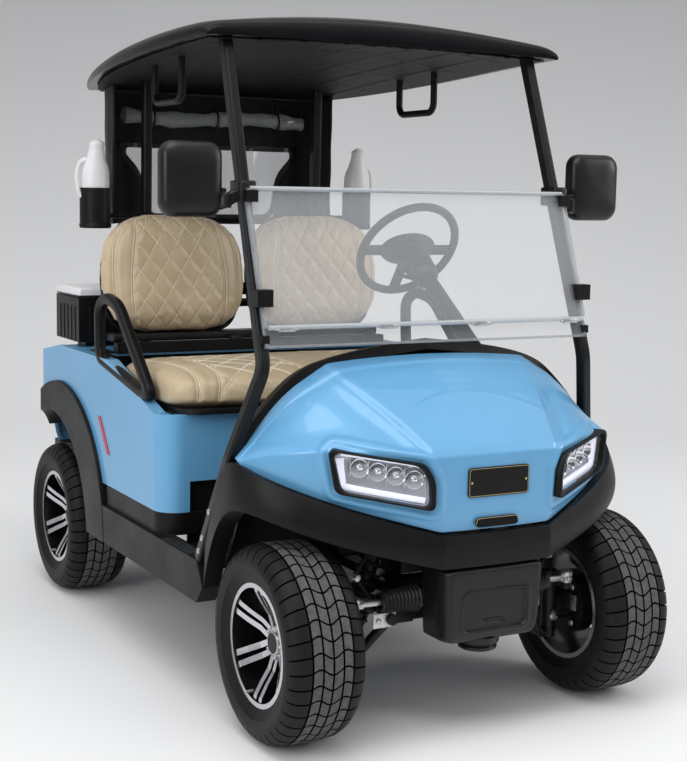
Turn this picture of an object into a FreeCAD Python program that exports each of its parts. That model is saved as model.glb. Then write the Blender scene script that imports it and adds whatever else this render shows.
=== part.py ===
"""Two-seat golf cart with a roof, fold-down windshield and rear bag deck.

Millimetres, +Z up, ground at Z 0. The cart faces -Y and its driver sits on the +X side.
"""
import FreeCAD, Part
import Sketcher
import math
import os
from FreeCAD import Vector

doc = FreeCAD.newDocument("GolfCart")
sheet = doc.addObject("Spreadsheet::Sheet", "Sizes")

# Driving dimensions
SIZES = {
    "seat_gap": 0.3,
    "cut_over": 5,
    "body_half_width": 600,
    "front_axle_y": -893,
    "rear_axle_y": 773,
    "front_hub_x": 481,
    "rear_hub_x": 490,
    # wheels
    "tyre_radius": 260,
    "tyre_width": 215,
    "tyre_wall": 14,
    "tyre_shoulder": 34,
    "rim_flange": 7.5,
    "rim_half_width": 89.5,
    "rim_wall": 5,
    "bead_radius": 153,
    "hub_disc_radius": 48,
    "hub_disc_depth": 14,
    "dish_depth": 50,
    "spoke_width": 16,
    "spoke_gap": 16,
    "spoke_depth": 14,
    "hub_cap_radius": 26,
    "hub_cap_length": 4,
    "axle_bore_radius": 17,
    # ladder frame and floor
    "rail_x": 170,
    "rail_width": 50,
    "rail_base_z": 290,
    "rail_height": 85,
    "rail_front_y": -963.7,
    "rail_rear_y": 1100,
    "rail_wall": 5,
    "cross_width": 50,
    "floor_thickness": 8,
    "floor_front_y": -548,
    "floor_rear_y": -240,
    "toe_top_y": -715,
    "toe_top_z": 700,
    "toe_half_width": 500,
    # sills
    "sill_base_z": 293,
    "sill_top_z": 412,
    "sill_front_y": -610,
    "sill_rear_y": 200,
    "sill_tip_y": -569,
    "sill_tip_z": 345,
    "sill_width": 58,
    "sill_wall": 8,
    "seat_corner_y": -280,
    # front cowl
    "panel_thickness": 6,
    "nose_back_y": -750,
    "nose_length": 400,
    "nose_base_z": 500,
    "nose_height": 500,
    # front band
    "band_wall": 9,
    # bumper block
    "block_half_width": 153,
    "block_top_z": 463,
    "block_base_z": 268,
    "block_front_y": -1139,
    "block_toe_y": -1133,
    "block_back_y": -1020,
    "block_edge": 14,
    "block_panel_half_width": 95,
    "block_panel_base_z": 300,
    "block_panel_height": 80,
    "block_panel_depth": 6,
    "block_boss_radius": 38,
    "block_boss_depth": 22,
    # headlamps
    "lamp_frame": 10,
    "lamp_depth": 16,
    "lamp_proud": 6,
    "lamp_inner_x": 192,
    "lamp_inner_y": -1128,
    "lamp_length": 262,
    "lamp_base_z": 620,
    "lamp_height": 160,
    "lamp_turn": 26,
    # plate
    "plate_width": 186,
    "plate_height": 76,
    "plate_thickness": 4,
    "plate_z": 687,
    "plate_corner": 8,
    # dash
    "dash_wall": 10,
    "cup_block_width": 230,
    "cup_block_depth": 132,
    "cup_block_height": 60,
    "cup_block_z": 800,
    "cup_block_back_y": -508,
    "cup_radius": 40,
    "cup_depth": 50,
    "cup_spacing": 105,
    # rear body
    "rear_wall": 8,
    "rear_set_in": 12,
    "rear_end_y": 1093.2,
    "rear_corner": 70,
    "rear_tail_corner": 170,
    "rear_base_z": 478,
    "rear_top_z": 880,
    "tail_slope_y": 685,
    "rear_tail_z": 810,
    "seat_front_z": 767.4,
    "arch_y": 755,
    "arch_z": 260,
    "arch_radius": 388,
    "flare_y": 660,
    "flare_z": 300,
    "flare_radius": 457,
    "flare_proud": 26,
    "flare_wall": 14,
    "flare_base_z": 436,
    # seat
    "cushion_half_width": 545,
    "cushion_front_y": -300,
    "cushion_rear_y": 270,
    "cushion_base_z": 782,
    "cushion_height": 112,
    "seat_base_height": 14,
    "seat_deck_z": 755.4,
    "seat_deck_thickness": 12,
    "back_width": 500,
    "back_centre_x": 263,
    "back_base_z": 936,
    "back_height": 400,
    "back_front_y": 372,
    "back_thickness": 95,
    "back_lean": 55,
    "back_rail_height": 34,
    "back_rail_depth": 40,
    "back_rail_y": 360,
    # hip restraints
    "hip_x": 572,
    "hip_width": 36,
    "hip_bar": 30,
    # struts
    "strut_depth": 38,
    "strut_width": 30,
    "strut_bend_radius": 90,
    "strut_top_x": 492,
    "strut_top_y": -500,
    "strut_top_z": 1812,
    "strut_mid_x": 512,
    "strut_mid_y": -800,
    "strut_mid_z": 960,
    "strut_knee_x": 575,
    "strut_knee_y": -735,
    "strut_knee_z": 720,
    "strut_foot_y": -560,
    "strut_foot_z": 413,
    "rear_strut_top_x": 322,
    "rear_strut_top_y": 545,
    "rear_strut_top_z": 1744,
    "rear_strut_foot_x": 322,
    "rear_strut_foot_y": 560,
    # roof
    "roof_half_width": 590,
    "roof_front_y": -560,
    "roof_length": 1350,
    "roof_base_z": 1740,
    "roof_height": 190,
    "roof_wall": 12,
    # windshield
    "glass_thickness": 5,
    "glass_half_width": 513,
    "glass_top_z": 1422,
    "glass_fold_z": 1064,
    "glass_base_z": 1012,
    "glass_gap": 8,
    "clip_size": 44,
    "clip_z": 1140,
    # mirrors
    "mirror_x": 648,
    "mirror_y": -640,
    "mirror_z": 1441,
    "mirror_width": 170,
    "mirror_height": 196,
    "mirror_depth": 52,
    "mirror_corner": 34,
    "mirror_arm_radius": 12,
    # steering
    "column_x": 280,
    "wheel_centre_y": -185,
    "wheel_centre_z": 1240,
    "wheel_ring_radius": 164,
    "wheel_grip_radius": 13,
    "column_slope": 35,
    "column_radius": 24,
    "column_length": 590,
    "wheel_hub_radius": 45,
    "wheel_hub_depth": 34,
    "wheel_spoke_width": 34,
    "wheel_spoke_depth": 8,
    "king_x": 350,
    "king_radius": 14,
    "king_height": 150,
    "king_base_z": 195,
    "hub_radius": 45,
    "arm_length": 95,
    "tie_radius": 9,
    "tie_eye_gap": 3,
    "rack_radius": 24,
    "rack_half_length": 190,
    "drum_radius": 90,
    "drum_depth": 50,
    # suspension
    "a_arm_radius": 13,
    "a_arm_spread": 60,
    "shock_radius": 22,
    "shock_top_z": 520,
    "axle_tube_radius": 28,
    "spring_width": 50,
    "spring_height": 34,
    "spring_length": 620,
    "motor_radius": 95,
    "motor_length": 240,
    "diff_radius": 105,
    "diff_width": 130,
    # batteries
    "battery_length": 620,
    "battery_width": 360,
    "battery_height": 260,
    "battery_y": 60,
    # rear deck
    "well_front_y": 600,
    "well_rear_y": 1090,
    "well_half_width": 330,
    "well_floor_z": 640,
    "well_top_z": 885,
    "well_wall": 8,
        "rear_bumper_depth": 46,
    "rear_bumper_half_width": 470,
    "tail_lamp_width": 90,
    "tail_lamp_height": 120,
    "tail_lamp_depth": 16,
    "tail_lamp_x": 390,
    "tail_lamp_z": 640,
    "cooler_x": 448,
    "cooler_width": 206,
    "cooler_front_y": 585,
    "cooler_length": 250,
    "cooler_height": 151,
    "cooler_wall": 14,
    "cooler_lid_height": 34,
    "bottle_x": 500,
    "bottle_y": 560,
    "bottle_z": 1290,
    "bottle_radius": 48,
    "bottle_height": 290,
    "holder_wall": 4,
    "holder_height": 120,
    "bracket_size": 16,
    # rear cover
    "cover_half_width": 425,
    "cover_rear_y": 765,
    "cover_base_z": 1300,
    "cover_wall": 6,
    # small pieces
    "pedal_width": 80,
    "pedal_thickness": 10,
    "pedal_reach": 55,
    "pedal_arm_radius": 8,
    "brake_x": 345,
    "throttle_x": 200,
    "rack_bar_z": 1020,
    "rack_bar_radius": 11,
    "rack_loop_reach": 120,
    "rack_loop_width": 250,
    "handle_radius": 11,
    "handle_x": 440,
    "handle_y": -60,
    "handle_length": 220,
    "handle_drop": 60,
    "reflector_top_y": 267,
    "reflector_top_z": 691,
    "reflector_low_y": 181,
    "reflector_low_z": 579,
    "reflector_width": 24,
    "reflector_depth": 3,
}

for row, (alias, value) in enumerate(SIZES.items(), start=1):
    sheet.set(f"A{row}", alias)
    sheet.set(f"B{row}", str(value))
    sheet.setAlias(f"B{row}", alias)
doc.recompute()


class Length:
    """A size with the spreadsheet formula that gives it."""

    def __init__(self, value, formula):
        self.value = value
        self.formula = formula

    def __float__(self):
        return float(self.value)

    def joined(self, sign, other, swap=False):
        theirs = other if isinstance(other, Length) else Length(float(other), repr(float(other)))
        first, second = (theirs, self) if swap else (self, theirs)
        values = {
            "+": first.value + second.value,
            "-": first.value - second.value,
            "*": first.value * second.value,
        }
        return Length(values[sign], f"({first.formula} {sign} {second.formula})")

    def __add__(self, other):
        return self.joined("+", other)

    def __sub__(self, other):
        return self.joined("-", other)

    def __rsub__(self, other):
        return self.joined("-", other, swap=True)

    def __mul__(self, other):
        return self.joined("*", other)

    def __truediv__(self, other):
        return Length(self.value / float(other), f"({self.formula} / {float(other)!r})")

    def __neg__(self):
        return Length(-self.value, f"(-{self.formula})")


class SheetSizes:
    """Reads each spreadsheet alias as a Length."""

    def __getattr__(self, alias):
        return Length(float(SIZES[alias]), f"Sizes.{alias}")


S = SheetSizes()
NONE = Length(0, "0")
AXES = {"X": Vector(1, 0, 0), "Y": Vector(0, 1, 0), "Z": Vector(0, 0, 1)}
PLANES = {"XY_Plane": "Z", "XZ_Plane": "Y", "YZ_Plane": "X"}


def point(x, y, z):
    return Vector(float(x), float(y), float(z))


def bind(obj, prop, length):
    obj.setExpression(prop, length.formula)


def move(obj, x, y, z, rotation=None):
    obj.Placement = FreeCAD.Placement(point(x, y, z), rotation or FreeCAD.Rotation())
    for letter, length in zip("xyz", (x, y, z)):
        bind(obj, f"Placement.Base.{letter}", length)
    return obj


def turned(axis):
    """Rotation that lays a Z-aligned piece along the given axis."""
    return FreeCAD.Rotation(AXES["Z"], AXES[axis])


def box(name, x, y, z):
    """A block between a low and a high coordinate on each axis."""
    block = doc.addObject("Part::Box", name)
    for prop, (low, high) in zip(("Length", "Width", "Height"), (x, y, z)):
        bind(block, prop, high - low)
    return move(block, x[0], y[0], z[0])


def rod(name, start, axis, radius, length):
    """A cylinder that starts at a point and runs along an axis."""
    bar = doc.addObject("Part::Cylinder", name)
    bind(bar, "Radius", radius)
    bind(bar, "Height", length)
    return move(bar, *start, turned(axis))


def slanted_rod(name, start, end, radius):
    """A cylinder between two points."""
    bar = doc.addObject("Part::Cylinder", name)
    line = point(*end) - point(*start)
    bind(bar, "Radius", radius)
    bar.Height = line.Length
    return move(bar, *start, FreeCAD.Rotation(AXES["Z"], line))


def shape_feature(name, shape, rotation=None, base=(NONE, NONE, NONE)):
    """A feature with a computed shape."""
    feature = doc.addObject("Part::Feature", name)
    feature.Shape = shape
    move(feature, *base, rotation)
    return feature


def cut(name, base, *tools):
    result = doc.addObject("Part::Cut", name)
    result.Base = base
    result.Tool = tools[0] if len(tools) == 1 else fuse(name + "Tools", *tools)
    return result


def fuse(name, *pieces):
    result = doc.addObject("Part::MultiFuse", name)
    result.Shapes = list(pieces)
    return result


def common(name, *pieces):
    result = doc.addObject("Part::MultiCommon", name)
    result.Shapes = list(pieces)
    return result


def together(name, *pieces):
    """Separate solids kept in one node."""
    result = doc.addObject("Part::Compound", name)
    result.Links = list(pieces)
    return result


def mirrored(name, piece):
    """The same piece on the other side of the cart."""
    result = doc.addObject("Part::Mirroring", name)
    result.Source = piece
    result.Normal = AXES["X"]
    return result


def both_sides(name, piece):
    return together(name, piece, mirrored(name + "Mirror", piece))


def sketch_on(body, plane, points, name):
    """A closed outline whose corners are tied to the spreadsheet."""
    sketch = body.newObject("Sketcher::SketchObject", name)
    origin = next(o for o in body.Origin.OriginFeatures if o.Role == plane)
    sketch.AttachmentSupport = [(origin, "")]
    sketch.MapMode = "FlatFace"
    corners = [Vector(float(u), float(v), 0) for u, v in points]
    for first, second in zip(corners, corners[1:] + corners[:1]):
        sketch.addGeometry(Part.LineSegment(first, second), False)
    count = len(points)
    for i in range(count):
        sketch.addConstraint(Sketcher.Constraint("Coincident", i, 2, (i + 1) % count, 1))
    for i, (u, v) in enumerate(points):
        for kind, length in (("DistanceX", u), ("DistanceY", v)):
            index = sketch.addConstraint(Sketcher.Constraint(kind, -1, 1, i, 1, float(length)))
            sketch.setExpression(f"Constraints[{index}]", length.formula)
    return sketch


def pad(name, plane, points, start, depth):
    """An outline on a main plane, padded away from a start coordinate."""
    body = doc.addObject("PartDesign::Body", name)
    sketch = sketch_on(body, plane, points, name + "Outline")
    solid = body.newObject("PartDesign::Pad", name + "Pad")
    solid.Profile = sketch
    bind(solid, "Length", depth)
    sketch.Visibility = False
    place = {"X": (start, NONE, NONE), "Y": (NONE, start, NONE), "Z": (NONE, NONE, start)}
    move(body, *place[PLANES[plane]])
    return body


def rounded(body, radius, keep):
    """Rounds the edges of a body's last solid that the test keeps."""
    doc.recompute()
    base = body.Tip
    names = [
        f"Edge{i}"
        for i, edge in enumerate(base.Shape.Edges, start=1)
        if keep(edge)
    ]
    fillet = body.newObject("PartDesign::Fillet", body.Name + "Fillet" + str(len(body.Group)))
    fillet.Base = (base, names)
    bind(fillet, "Radius", radius)
    body.Tip = fillet
    return body


def along(axis):
    """Test for straight edges that run along an axis."""

    def keep(edge):
        if edge.Curve.TypeId != "Part::GeomLine":
            return False
        direction = edge.tangentAt(edge.FirstParameter)
        return abs(direction.dot(AXES[axis])) > 0.999

    return keep


def revolved(name, points):
    """A section in the X-Z plane turned about the X axis."""
    body = doc.addObject("PartDesign::Body", name)
    sketch = sketch_on(body, "XZ_Plane", points, name + "Section")
    turn = body.newObject("PartDesign::Revolution", name + "Turn")
    turn.Profile = sketch
    x_axis = next(o for o in body.Origin.OriginFeatures if o.Role == "X_Axis")
    turn.ReferenceAxis = (x_axis, [""])
    turn.Angle = 360
    sketch.Visibility = False
    return body


def bent_path(points, bend):
    """Straight runs joined by tangent arcs."""
    corners = [point(*p) for p in points]
    edges = []
    start = corners[0]
    for before, corner, after in zip(corners, corners[1:], corners[2:]):
        incoming = (corner - before).normalize()
        outgoing = (after - corner).normalize()
        half_turn = incoming.getAngle(outgoing) / 2
        room = 0.48 * min((corner - before).Length, (after - corner).Length)
        reach = min(float(bend) * math.tan(half_turn), room)
        first = corner - incoming * reach
        last = corner + outgoing * reach
        radius = reach / math.tan(half_turn)
        inward = (outgoing - incoming).normalize()
        middle = corner + inward * (radius / math.cos(half_turn) - radius)
        edges.append(Part.LineSegment(start, first).toShape())
        edges.append(Part.Arc(first, middle, last).toShape())
        start = last
    edges.append(Part.LineSegment(start, corners[-1]).toShape())
    return Part.Wire(edges)


def bent_bar(name, points, bend, radius):
    """A round bar or tube that follows a bent path."""
    path = bent_path(points, bend)
    first = path.Edges[0]
    direction = first.tangentAt(first.FirstParameter)
    circle = Part.Circle(point(*points[0]), direction, float(radius)).toShape()
    bar = path.makePipeShell([Part.Wire(circle)], True, False, 2)
    return shape_feature(name, bar)


def rounded_rectangle(centre, across, forward, width, depth, corner):
    """A closed section with rounded corners."""
    half_width, half_depth = width / 2 - corner, depth / 2 - corner
    edges = []
    signs = ((1, 1), (-1, 1), (-1, -1), (1, -1))
    arcs = []
    for i, j in signs:
        pivot = centre + across * (half_width * i) + forward * (half_depth * j)
        side, front = across * (corner * i), forward * (corner * j)
        middle = pivot + (side + front) * math.sqrt(0.5)
        ends = (pivot + side, middle, pivot + front)
        arcs.append(ends if i * j > 0 else ends[::-1])
    for arc, following in zip(arcs, arcs[1:] + arcs[:1]):
        edges.append(Part.Arc(*arc).toShape())
        edges.append(Part.LineSegment(arc[2], following[0]).toShape())
    return Part.Wire(edges)


def flat_bar(name, points, bend, width, depth, corner_share=0.25):
    """A rectangular tube with rounded edges, wide across X, on a bent path."""
    path = bent_path(points, bend)
    first = path.Edges[0]
    direction = first.tangentAt(first.FirstParameter)
    across = (AXES["X"] - direction * AXES["X"].dot(direction)).normalize()
    forward = direction.cross(across)
    corner = corner_share * min(float(width), float(depth))
    section = rounded_rectangle(point(*points[0]), across, forward, float(width), float(depth), corner)
    return shape_feature(name, path.makePipeShell([section], True, False, 2))


def knots(count):
    """Clamped knots for the given number of control points, with their degree."""
    degree = min(3, count - 1)
    spans = count - degree
    multiplicities = [degree + 1] + [1] * (spans - 1) + [degree + 1]
    return [i / spans for i in range(spans + 1)], multiplicities, degree


def patch(poles):
    """A smooth face from a grid of control points."""
    u_knots, u_mults, u_degree = knots(len(poles))
    v_knots, v_mults, v_degree = knots(len(poles[0]))
    surface = Part.BSplineSurface()
    surface.buildFromPolesMultsKnots(
        poles, u_mults, v_mults, u_knots, v_knots, False, False, u_degree, v_degree
    )
    return surface.toShape()


def inner_grid(grid, thickness):
    """The grid moved inward along its own normals."""
    rows, columns = len(grid), len(grid[0])
    moved = []
    for i in range(rows):
        line = []
        for j in range(columns):
            down = grid[min(i + 1, rows - 1)][j] - grid[max(i - 1, 0)][j]
            side = grid[i][min(j + 1, columns - 1)] - grid[i][max(j - 1, 0)]
            normal = down.cross(side).normalize()
            line.append(grid[i][j] - normal * float(thickness))
        moved.append(line)
    return moved


def skin(name, outer, inner, row_creases=(), column_creases=()):
    """A closed sheet between two grids, creased where the grids are split."""
    row_stops = [0, *row_creases, len(outer) - 1]
    column_stops = [0, *column_creases, len(outer[0]) - 1]
    faces = []
    for r0, r1 in zip(row_stops, row_stops[1:]):
        for c0, c1 in zip(column_stops, column_stops[1:]):
            for grid in (outer, inner):
                faces.append(patch([row[c0 : c1 + 1] for row in grid[r0 : r1 + 1]]))
    for c0, c1 in zip(column_stops, column_stops[1:]):
        for row in (0, -1):
            faces.append(patch([outer[row][c0 : c1 + 1], inner[row][c0 : c1 + 1]]))
    for r0, r1 in zip(row_stops, row_stops[1:]):
        for column in (0, -1):
            rim = [[grid[i][column] for i in range(r0, r1 + 1)] for grid in (outer, inner)]
            faces.append(patch(rim))
    shell = Part.makeShell(faces)
    shell.sewShape()
    solid = Part.makeSolid(shell)
    if solid.Volume < 0:
        solid.reverse()
    return shape_feature(name, solid)


def across_grid(half):
    """Completes a half grid, centre column first, with its mirror image."""
    return [
        [Vector(-p.x, p.y, p.z) for p in reversed(row[1:])] + list(row)
        for row in half
    ]


def share_point(x_share, y_share, z_share, origin, spans):
    """A point given by shares of three named spans from a named origin."""
    shares = (x_share, y_share, z_share)
    return point(*(float(o) + share * float(span) for o, share, span in zip(origin, shares, spans)))


nodes = {}

# The rear body is a little narrower than the front
rear_half_width = S.body_half_width - S.rear_set_in


# Wheels
rim_radius = S.bead_radius + S.rim_flange


def tyre(name):
    half = S.tyre_width / 2
    bead = S.bead_radius + S.seat_gap
    side = S.rim_half_width - S.rim_wall - S.seat_gap
    outer = [
        (side, bead),
        (side, rim_radius + S.rim_wall),
        (half - S.rim_wall, rim_radius + S.tyre_wall * 2),
        (half, S.tyre_radius - S.tyre_shoulder * 1.4),
        (half - S.tyre_shoulder * 0.25, S.tyre_radius - S.tyre_shoulder * 0.45),
        (half - S.tyre_shoulder, S.tyre_radius),
    ]
    inner = [
        (half - S.tyre_shoulder - S.tyre_wall, S.tyre_radius - S.tyre_wall),
        (half - S.tyre_wall, S.tyre_radius - S.tyre_shoulder * 1.4),
        (half - S.tyre_wall - S.rim_wall, rim_radius + S.tyre_wall * 2),
        (side - S.tyre_wall, bead),
    ]
    across = [(-x, z) for x, z in reversed(outer)]
    inside = [(-x, z) for x, z in reversed(inner)]
    return revolved(name, outer + across + inside + inner)


# The dish from its lip inward: radius share, depth share
dish_shares = [(1.0, 0.0), (0.88, 0.05), (0.6, 0.38), (0.3, 0.8), (0.0, 1.0)]
spoke_root_share, root_gap_share, root_edge_share = 0.8, 0.6, 0.85


def rim(name):
    """A barrel with two flanges and a deep dish of six pairs of spokes."""
    edge, lip = S.rim_half_width, S.rim_half_width - S.rim_wall
    inside = S.bead_radius - S.rim_wall
    barrel = revolved(
        name,
        [
            (-edge, inside),
            (edge, inside),
            (edge, rim_radius),
            (lip, rim_radius),
            (lip, S.bead_radius),
            (-lip, S.bead_radius),
            (-lip, rim_radius),
            (-edge, rim_radius),
        ],
    )
    front = edge - S.rim_wall
    deepest = front - S.dish_depth
    spoke_root = S.hub_disc_radius * spoke_root_share
    reach = inside + S.rim_wall / 2 - spoke_root
    face = [(front - S.dish_depth * deep, spoke_root + reach * out) for out, deep in dish_shares]
    back = [(x - S.spoke_depth, radius) for x, radius in reversed(face)]
    dish = revolved(name + "Dish", face + back)
    bars = doc.addObject("PartDesign::Body", name + "Bars")
    for k, side in enumerate((-1, 1)):
        inner_edge = S.spoke_gap * (side / 2)
        outer_edge = (S.spoke_gap / 2 + S.spoke_width) * side
        sketch = sketch_on(
            bars,
            "YZ_Plane",
            [
                (inner_edge * root_gap_share, spoke_root),
                (outer_edge * root_edge_share, spoke_root),
                (outer_edge, inside + S.rim_wall / 2),
                (inner_edge, inside + S.rim_wall / 2),
            ],
            f"{name}Spoke{k}",
        )
        start = deepest - S.spoke_depth - S.cut_over
        sketch.AttachmentOffset = FreeCAD.Placement(point(0, 0, start), FreeCAD.Rotation())
        bind(sketch, "AttachmentOffset.Base.z", start)
        spoke = bars.newObject("PartDesign::Pad", f"{name}SpokePad{k}")
        spoke.Profile = sketch
        bind(spoke, "Length", S.dish_depth + S.spoke_depth + S.cut_over * 2)
        pattern = bars.newObject("PartDesign::PolarPattern", f"{name}SpokeRing{k}")
        pattern.Originals = [spoke]
        x_axis = next(o for o in bars.Origin.OriginFeatures if o.Role == "X_Axis")
        pattern.Axis = (x_axis, [""])
        pattern.Angle = 360
        pattern.Occurrences = 6
        bars.Tip = pattern
    spokes = common(name + "Spokes", dish, bars)
    disc_start = (deepest - S.hub_disc_depth, NONE, NONE)
    disc = rod(name + "Disc", disc_start, "X", S.hub_disc_radius, S.hub_disc_depth)
    cap = rod(name + "Cap", (deepest, NONE, NONE), "X", S.hub_cap_radius, S.rim_wall)
    bore_length = front + deepest - S.hub_cap_length
    bore = rod(name + "Bore", (-front, NONE, NONE), "X", S.axle_bore_radius, bore_length)
    return cut(name + "Bored", fuse(name + "Whole", barrel, spokes, disc, cap), bore)


for side_name, side in (("right", -1), ("left", 1)):
    for end_name, hub_x, axle_y in (
        ("front", S.front_hub_x, S.front_axle_y),
        ("rear", S.rear_hub_x, S.rear_axle_y),
    ):
        facing = FreeCAD.Rotation(AXES["Z"], 0 if side > 0 else 180)
        for kind, maker in (("tyre", tyre), ("rim", rim)):
            node = f"{kind}_{end_name}_{side_name}"
            nodes[node] = move(maker(node), hub_x * side, axle_y, S.tyre_radius, facing)


# Ladder frame
rail = box(
    "Rail",
    (S.rail_x - S.rail_width / 2, S.rail_x + S.rail_width / 2),
    (S.rail_front_y, S.rail_rear_y),
    (S.rail_base_z, S.rail_base_z + S.rail_height),
)
rail_channel = box(
    "RailChannel",
    (S.rail_x - S.rail_width, S.rail_x + S.rail_width / 2 - S.rail_wall),
    (S.rail_front_y - S.cut_over, S.rail_rear_y + S.cut_over),
    (S.rail_base_z + S.rail_wall, S.rail_base_z + S.rail_height - S.rail_wall),
)
channel = cut("ChannelRail", rail, rail_channel)
cross_places = (
    S.rail_front_y,
    S.front_axle_y + S.cross_width,
    S.floor_front_y,
    S.seat_corner_y,
    S.well_front_y - S.cross_width * 5,
    S.rail_rear_y - S.cross_width,
)
inside_x = S.rail_x + S.rail_width / 2 - S.rail_wall
crosses = [
    box(
        f"Cross{i}",
        (-inside_x, inside_x),
        (y, y + S.cross_width),
        (S.rail_base_z + S.rail_wall, S.rail_base_z + S.rail_height - S.rail_wall),
    )
    for i, y in enumerate(cross_places)
]
nodes["frame_rails"] = fuse("FrameRails", channel, mirrored("ChannelMirror", channel), *crosses)


# Floor, toe board and kick panel
floor_z = S.rail_base_z + S.rail_height
floor_top = floor_z + S.floor_thickness
floor_half = S.body_half_width - S.sill_width - S.seat_gap
nodes["floor_pan"] = fuse(
    "FloorPan",
    box("FloorPlate", (-floor_half, floor_half), (S.floor_front_y, S.floor_rear_y), (floor_z, floor_top)),
    pad(
        "ToeBoard",
        "YZ_Plane",
        [
            (S.floor_front_y, floor_z),
            (S.floor_front_y + S.floor_thickness, floor_z),
            (S.floor_front_y + S.floor_thickness, floor_top),
            (S.toe_top_y + S.floor_thickness, S.toe_top_z),
            (S.toe_top_y, S.toe_top_z),
        ],
        -S.toe_half_width,
        S.toe_half_width * 2,
    ),
    box(
        "KickPanel",
        (-S.toe_half_width, S.toe_half_width),
        (S.seat_corner_y + S.floor_thickness * 2, S.seat_corner_y + S.floor_thickness * 3),
        (floor_top, S.seat_front_z - S.rear_wall * 4),
    ),
)


# Rear body shell and the sills that carry its line forward
def plan_outline(inset, front_y, rear_y, name, z_low, z_high):
    """The body's plan shape as a prism, drawn in from its outer line."""
    half = rear_half_width - inset
    body = pad(
        name,
        "XY_Plane",
        [
            (-half, front_y + inset),
            (half, front_y + inset),
            (half, rear_y - inset - S.rear_tail_corner * 1.2),
            (half - S.rear_tail_corner * 0.7, rear_y - inset),
            (-half + S.rear_tail_corner * 0.7, rear_y - inset),
            (-half, rear_y - inset - S.rear_tail_corner * 1.2),
        ],
        z_low,
        z_high - z_low,
    )
    return rounded(body, S.rear_corner - inset, along("Z"))


def side_profile(inset, name):
    """The body's side shape across the whole width."""
    base = S.rear_base_z - S.cut_over * 2 if float(inset) else S.rear_base_z
    half = S.body_half_width + S.cut_over
    return pad(
        name,
        "YZ_Plane",
        [
            (S.seat_corner_y - S.cut_over, base),
            (S.rear_end_y + S.cut_over, base),
            (S.rear_end_y + S.cut_over, S.rear_tail_z - inset),
            (S.tail_slope_y, S.rear_top_z - inset),
            (S.arch_y - S.arch_radius * 1.45, S.rear_top_z - inset),
            (S.seat_corner_y + S.rear_corner, S.seat_front_z - inset),
            (S.seat_corner_y - S.cut_over, S.seat_front_z - inset),
        ],
        -half,
        half * 2,
    )


def arch_cylinder(name, y, z, radius):
    half = S.body_half_width + S.cut_over * 8
    return rod(name, (-half, y, z), "X", radius, half * 2)


body_outer = common(
    "BodyOuter",
    plan_outline(NONE, S.seat_corner_y, S.rear_end_y, "BodyPlan", S.rear_base_z, S.rear_top_z + S.cut_over),
    side_profile(NONE, "BodySide"),
)
body_inner = common(
    "BodyInner",
    plan_outline(
        S.rear_wall, S.seat_corner_y, S.rear_end_y, "BodyPlanInner",
        S.rear_base_z - S.cut_over * 2, S.rear_top_z + S.cut_over,
    ),
    side_profile(S.rear_wall, "BodySideInner"),
)
well_hole = box(
    "WellHole",
    (-S.well_half_width, S.well_half_width),
    (S.well_front_y, S.rear_end_y + S.cut_over),
    (S.well_floor_z, S.rear_top_z + S.cut_over * 2),
)
seat_hole = box(
    "SeatHole",
    (-S.cushion_half_width - S.cut_over, S.cushion_half_width + S.cut_over),
    (S.seat_corner_y + S.rear_wall * 2.5, S.well_front_y - S.cross_width * 5),
    (S.seat_deck_z - S.cut_over, S.rear_top_z + S.cut_over * 2),
)
front_vent = box(
    "FrontVent",
    (-S.toe_half_width, S.toe_half_width),
    (S.seat_corner_y - S.cut_over, S.seat_corner_y + S.rear_wall + S.cut_over),
    (S.rear_base_z - S.cut_over, S.rear_base_z + S.rear_corner * 1.3),
)
nodes["rear_body"] = cut(
    "RearBody",
    body_outer,
    body_inner,
    well_hole,
    seat_hole,
    front_vent,
    arch_cylinder("BodyArch", S.flare_y, S.flare_z, S.flare_radius),
)

# Rear flares: a crescent proud of each side
flare_plate = box(
    "FlarePlate",
    (rear_half_width - S.flare_wall * 3, rear_half_width + S.flare_proud * 0.5),
    (S.flare_y - S.flare_radius, S.rear_end_y - S.rear_tail_corner * 0.55),
    (S.sill_base_z, S.flare_z + S.flare_radius),
)
flare_tail = pad(
    "FlareTail",
    "XY_Plane",
    [
        (rear_half_width - S.flare_wall * 3, S.flare_y - S.flare_radius - S.cut_over),
        (rear_half_width + S.flare_proud * 0.5, S.flare_y - S.flare_radius - S.cut_over),
        (rear_half_width + S.flare_proud * 0.5, S.rear_end_y - S.rear_tail_corner * 1.3),
        (rear_half_width - S.rear_tail_corner * 0.35, S.rear_end_y - S.rear_tail_corner * 0.5),
        (rear_half_width - S.rear_tail_corner * 0.35 - S.flare_wall * 3,
            S.rear_end_y - S.rear_tail_corner * 0.5),
        (rear_half_width - S.flare_wall * 3, S.rear_end_y - S.rear_tail_corner * 1.3),
    ],
    S.sill_base_z,
    S.flare_z + S.flare_radius,
)
flare_ring = cut(
    "FlareRing",
    rod("FlareDisc", (NONE, S.flare_y, S.flare_z), "X", S.flare_radius - S.seat_gap, S.body_half_width * 2),
    arch_cylinder("FlareArch", S.arch_y, S.arch_z, S.arch_radius),
)
flare_behind = box(
    "FlareBehind",
    (NONE, S.body_half_width * 2),
    (S.arch_y, S.rear_end_y),
    (NONE, S.flare_base_z),
)
flare_low = box(
    "FlareLow",
    (NONE, S.body_half_width * 2),
    (S.flare_y - S.flare_radius - S.cut_over, S.rear_end_y),
    (NONE, S.sill_base_z),
)
flare = cut("Flare", common("FlareBand", flare_tail, flare_ring), flare_behind, flare_low)
nodes["rear_flares"] = both_sides("RearFlares", flare)

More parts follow.
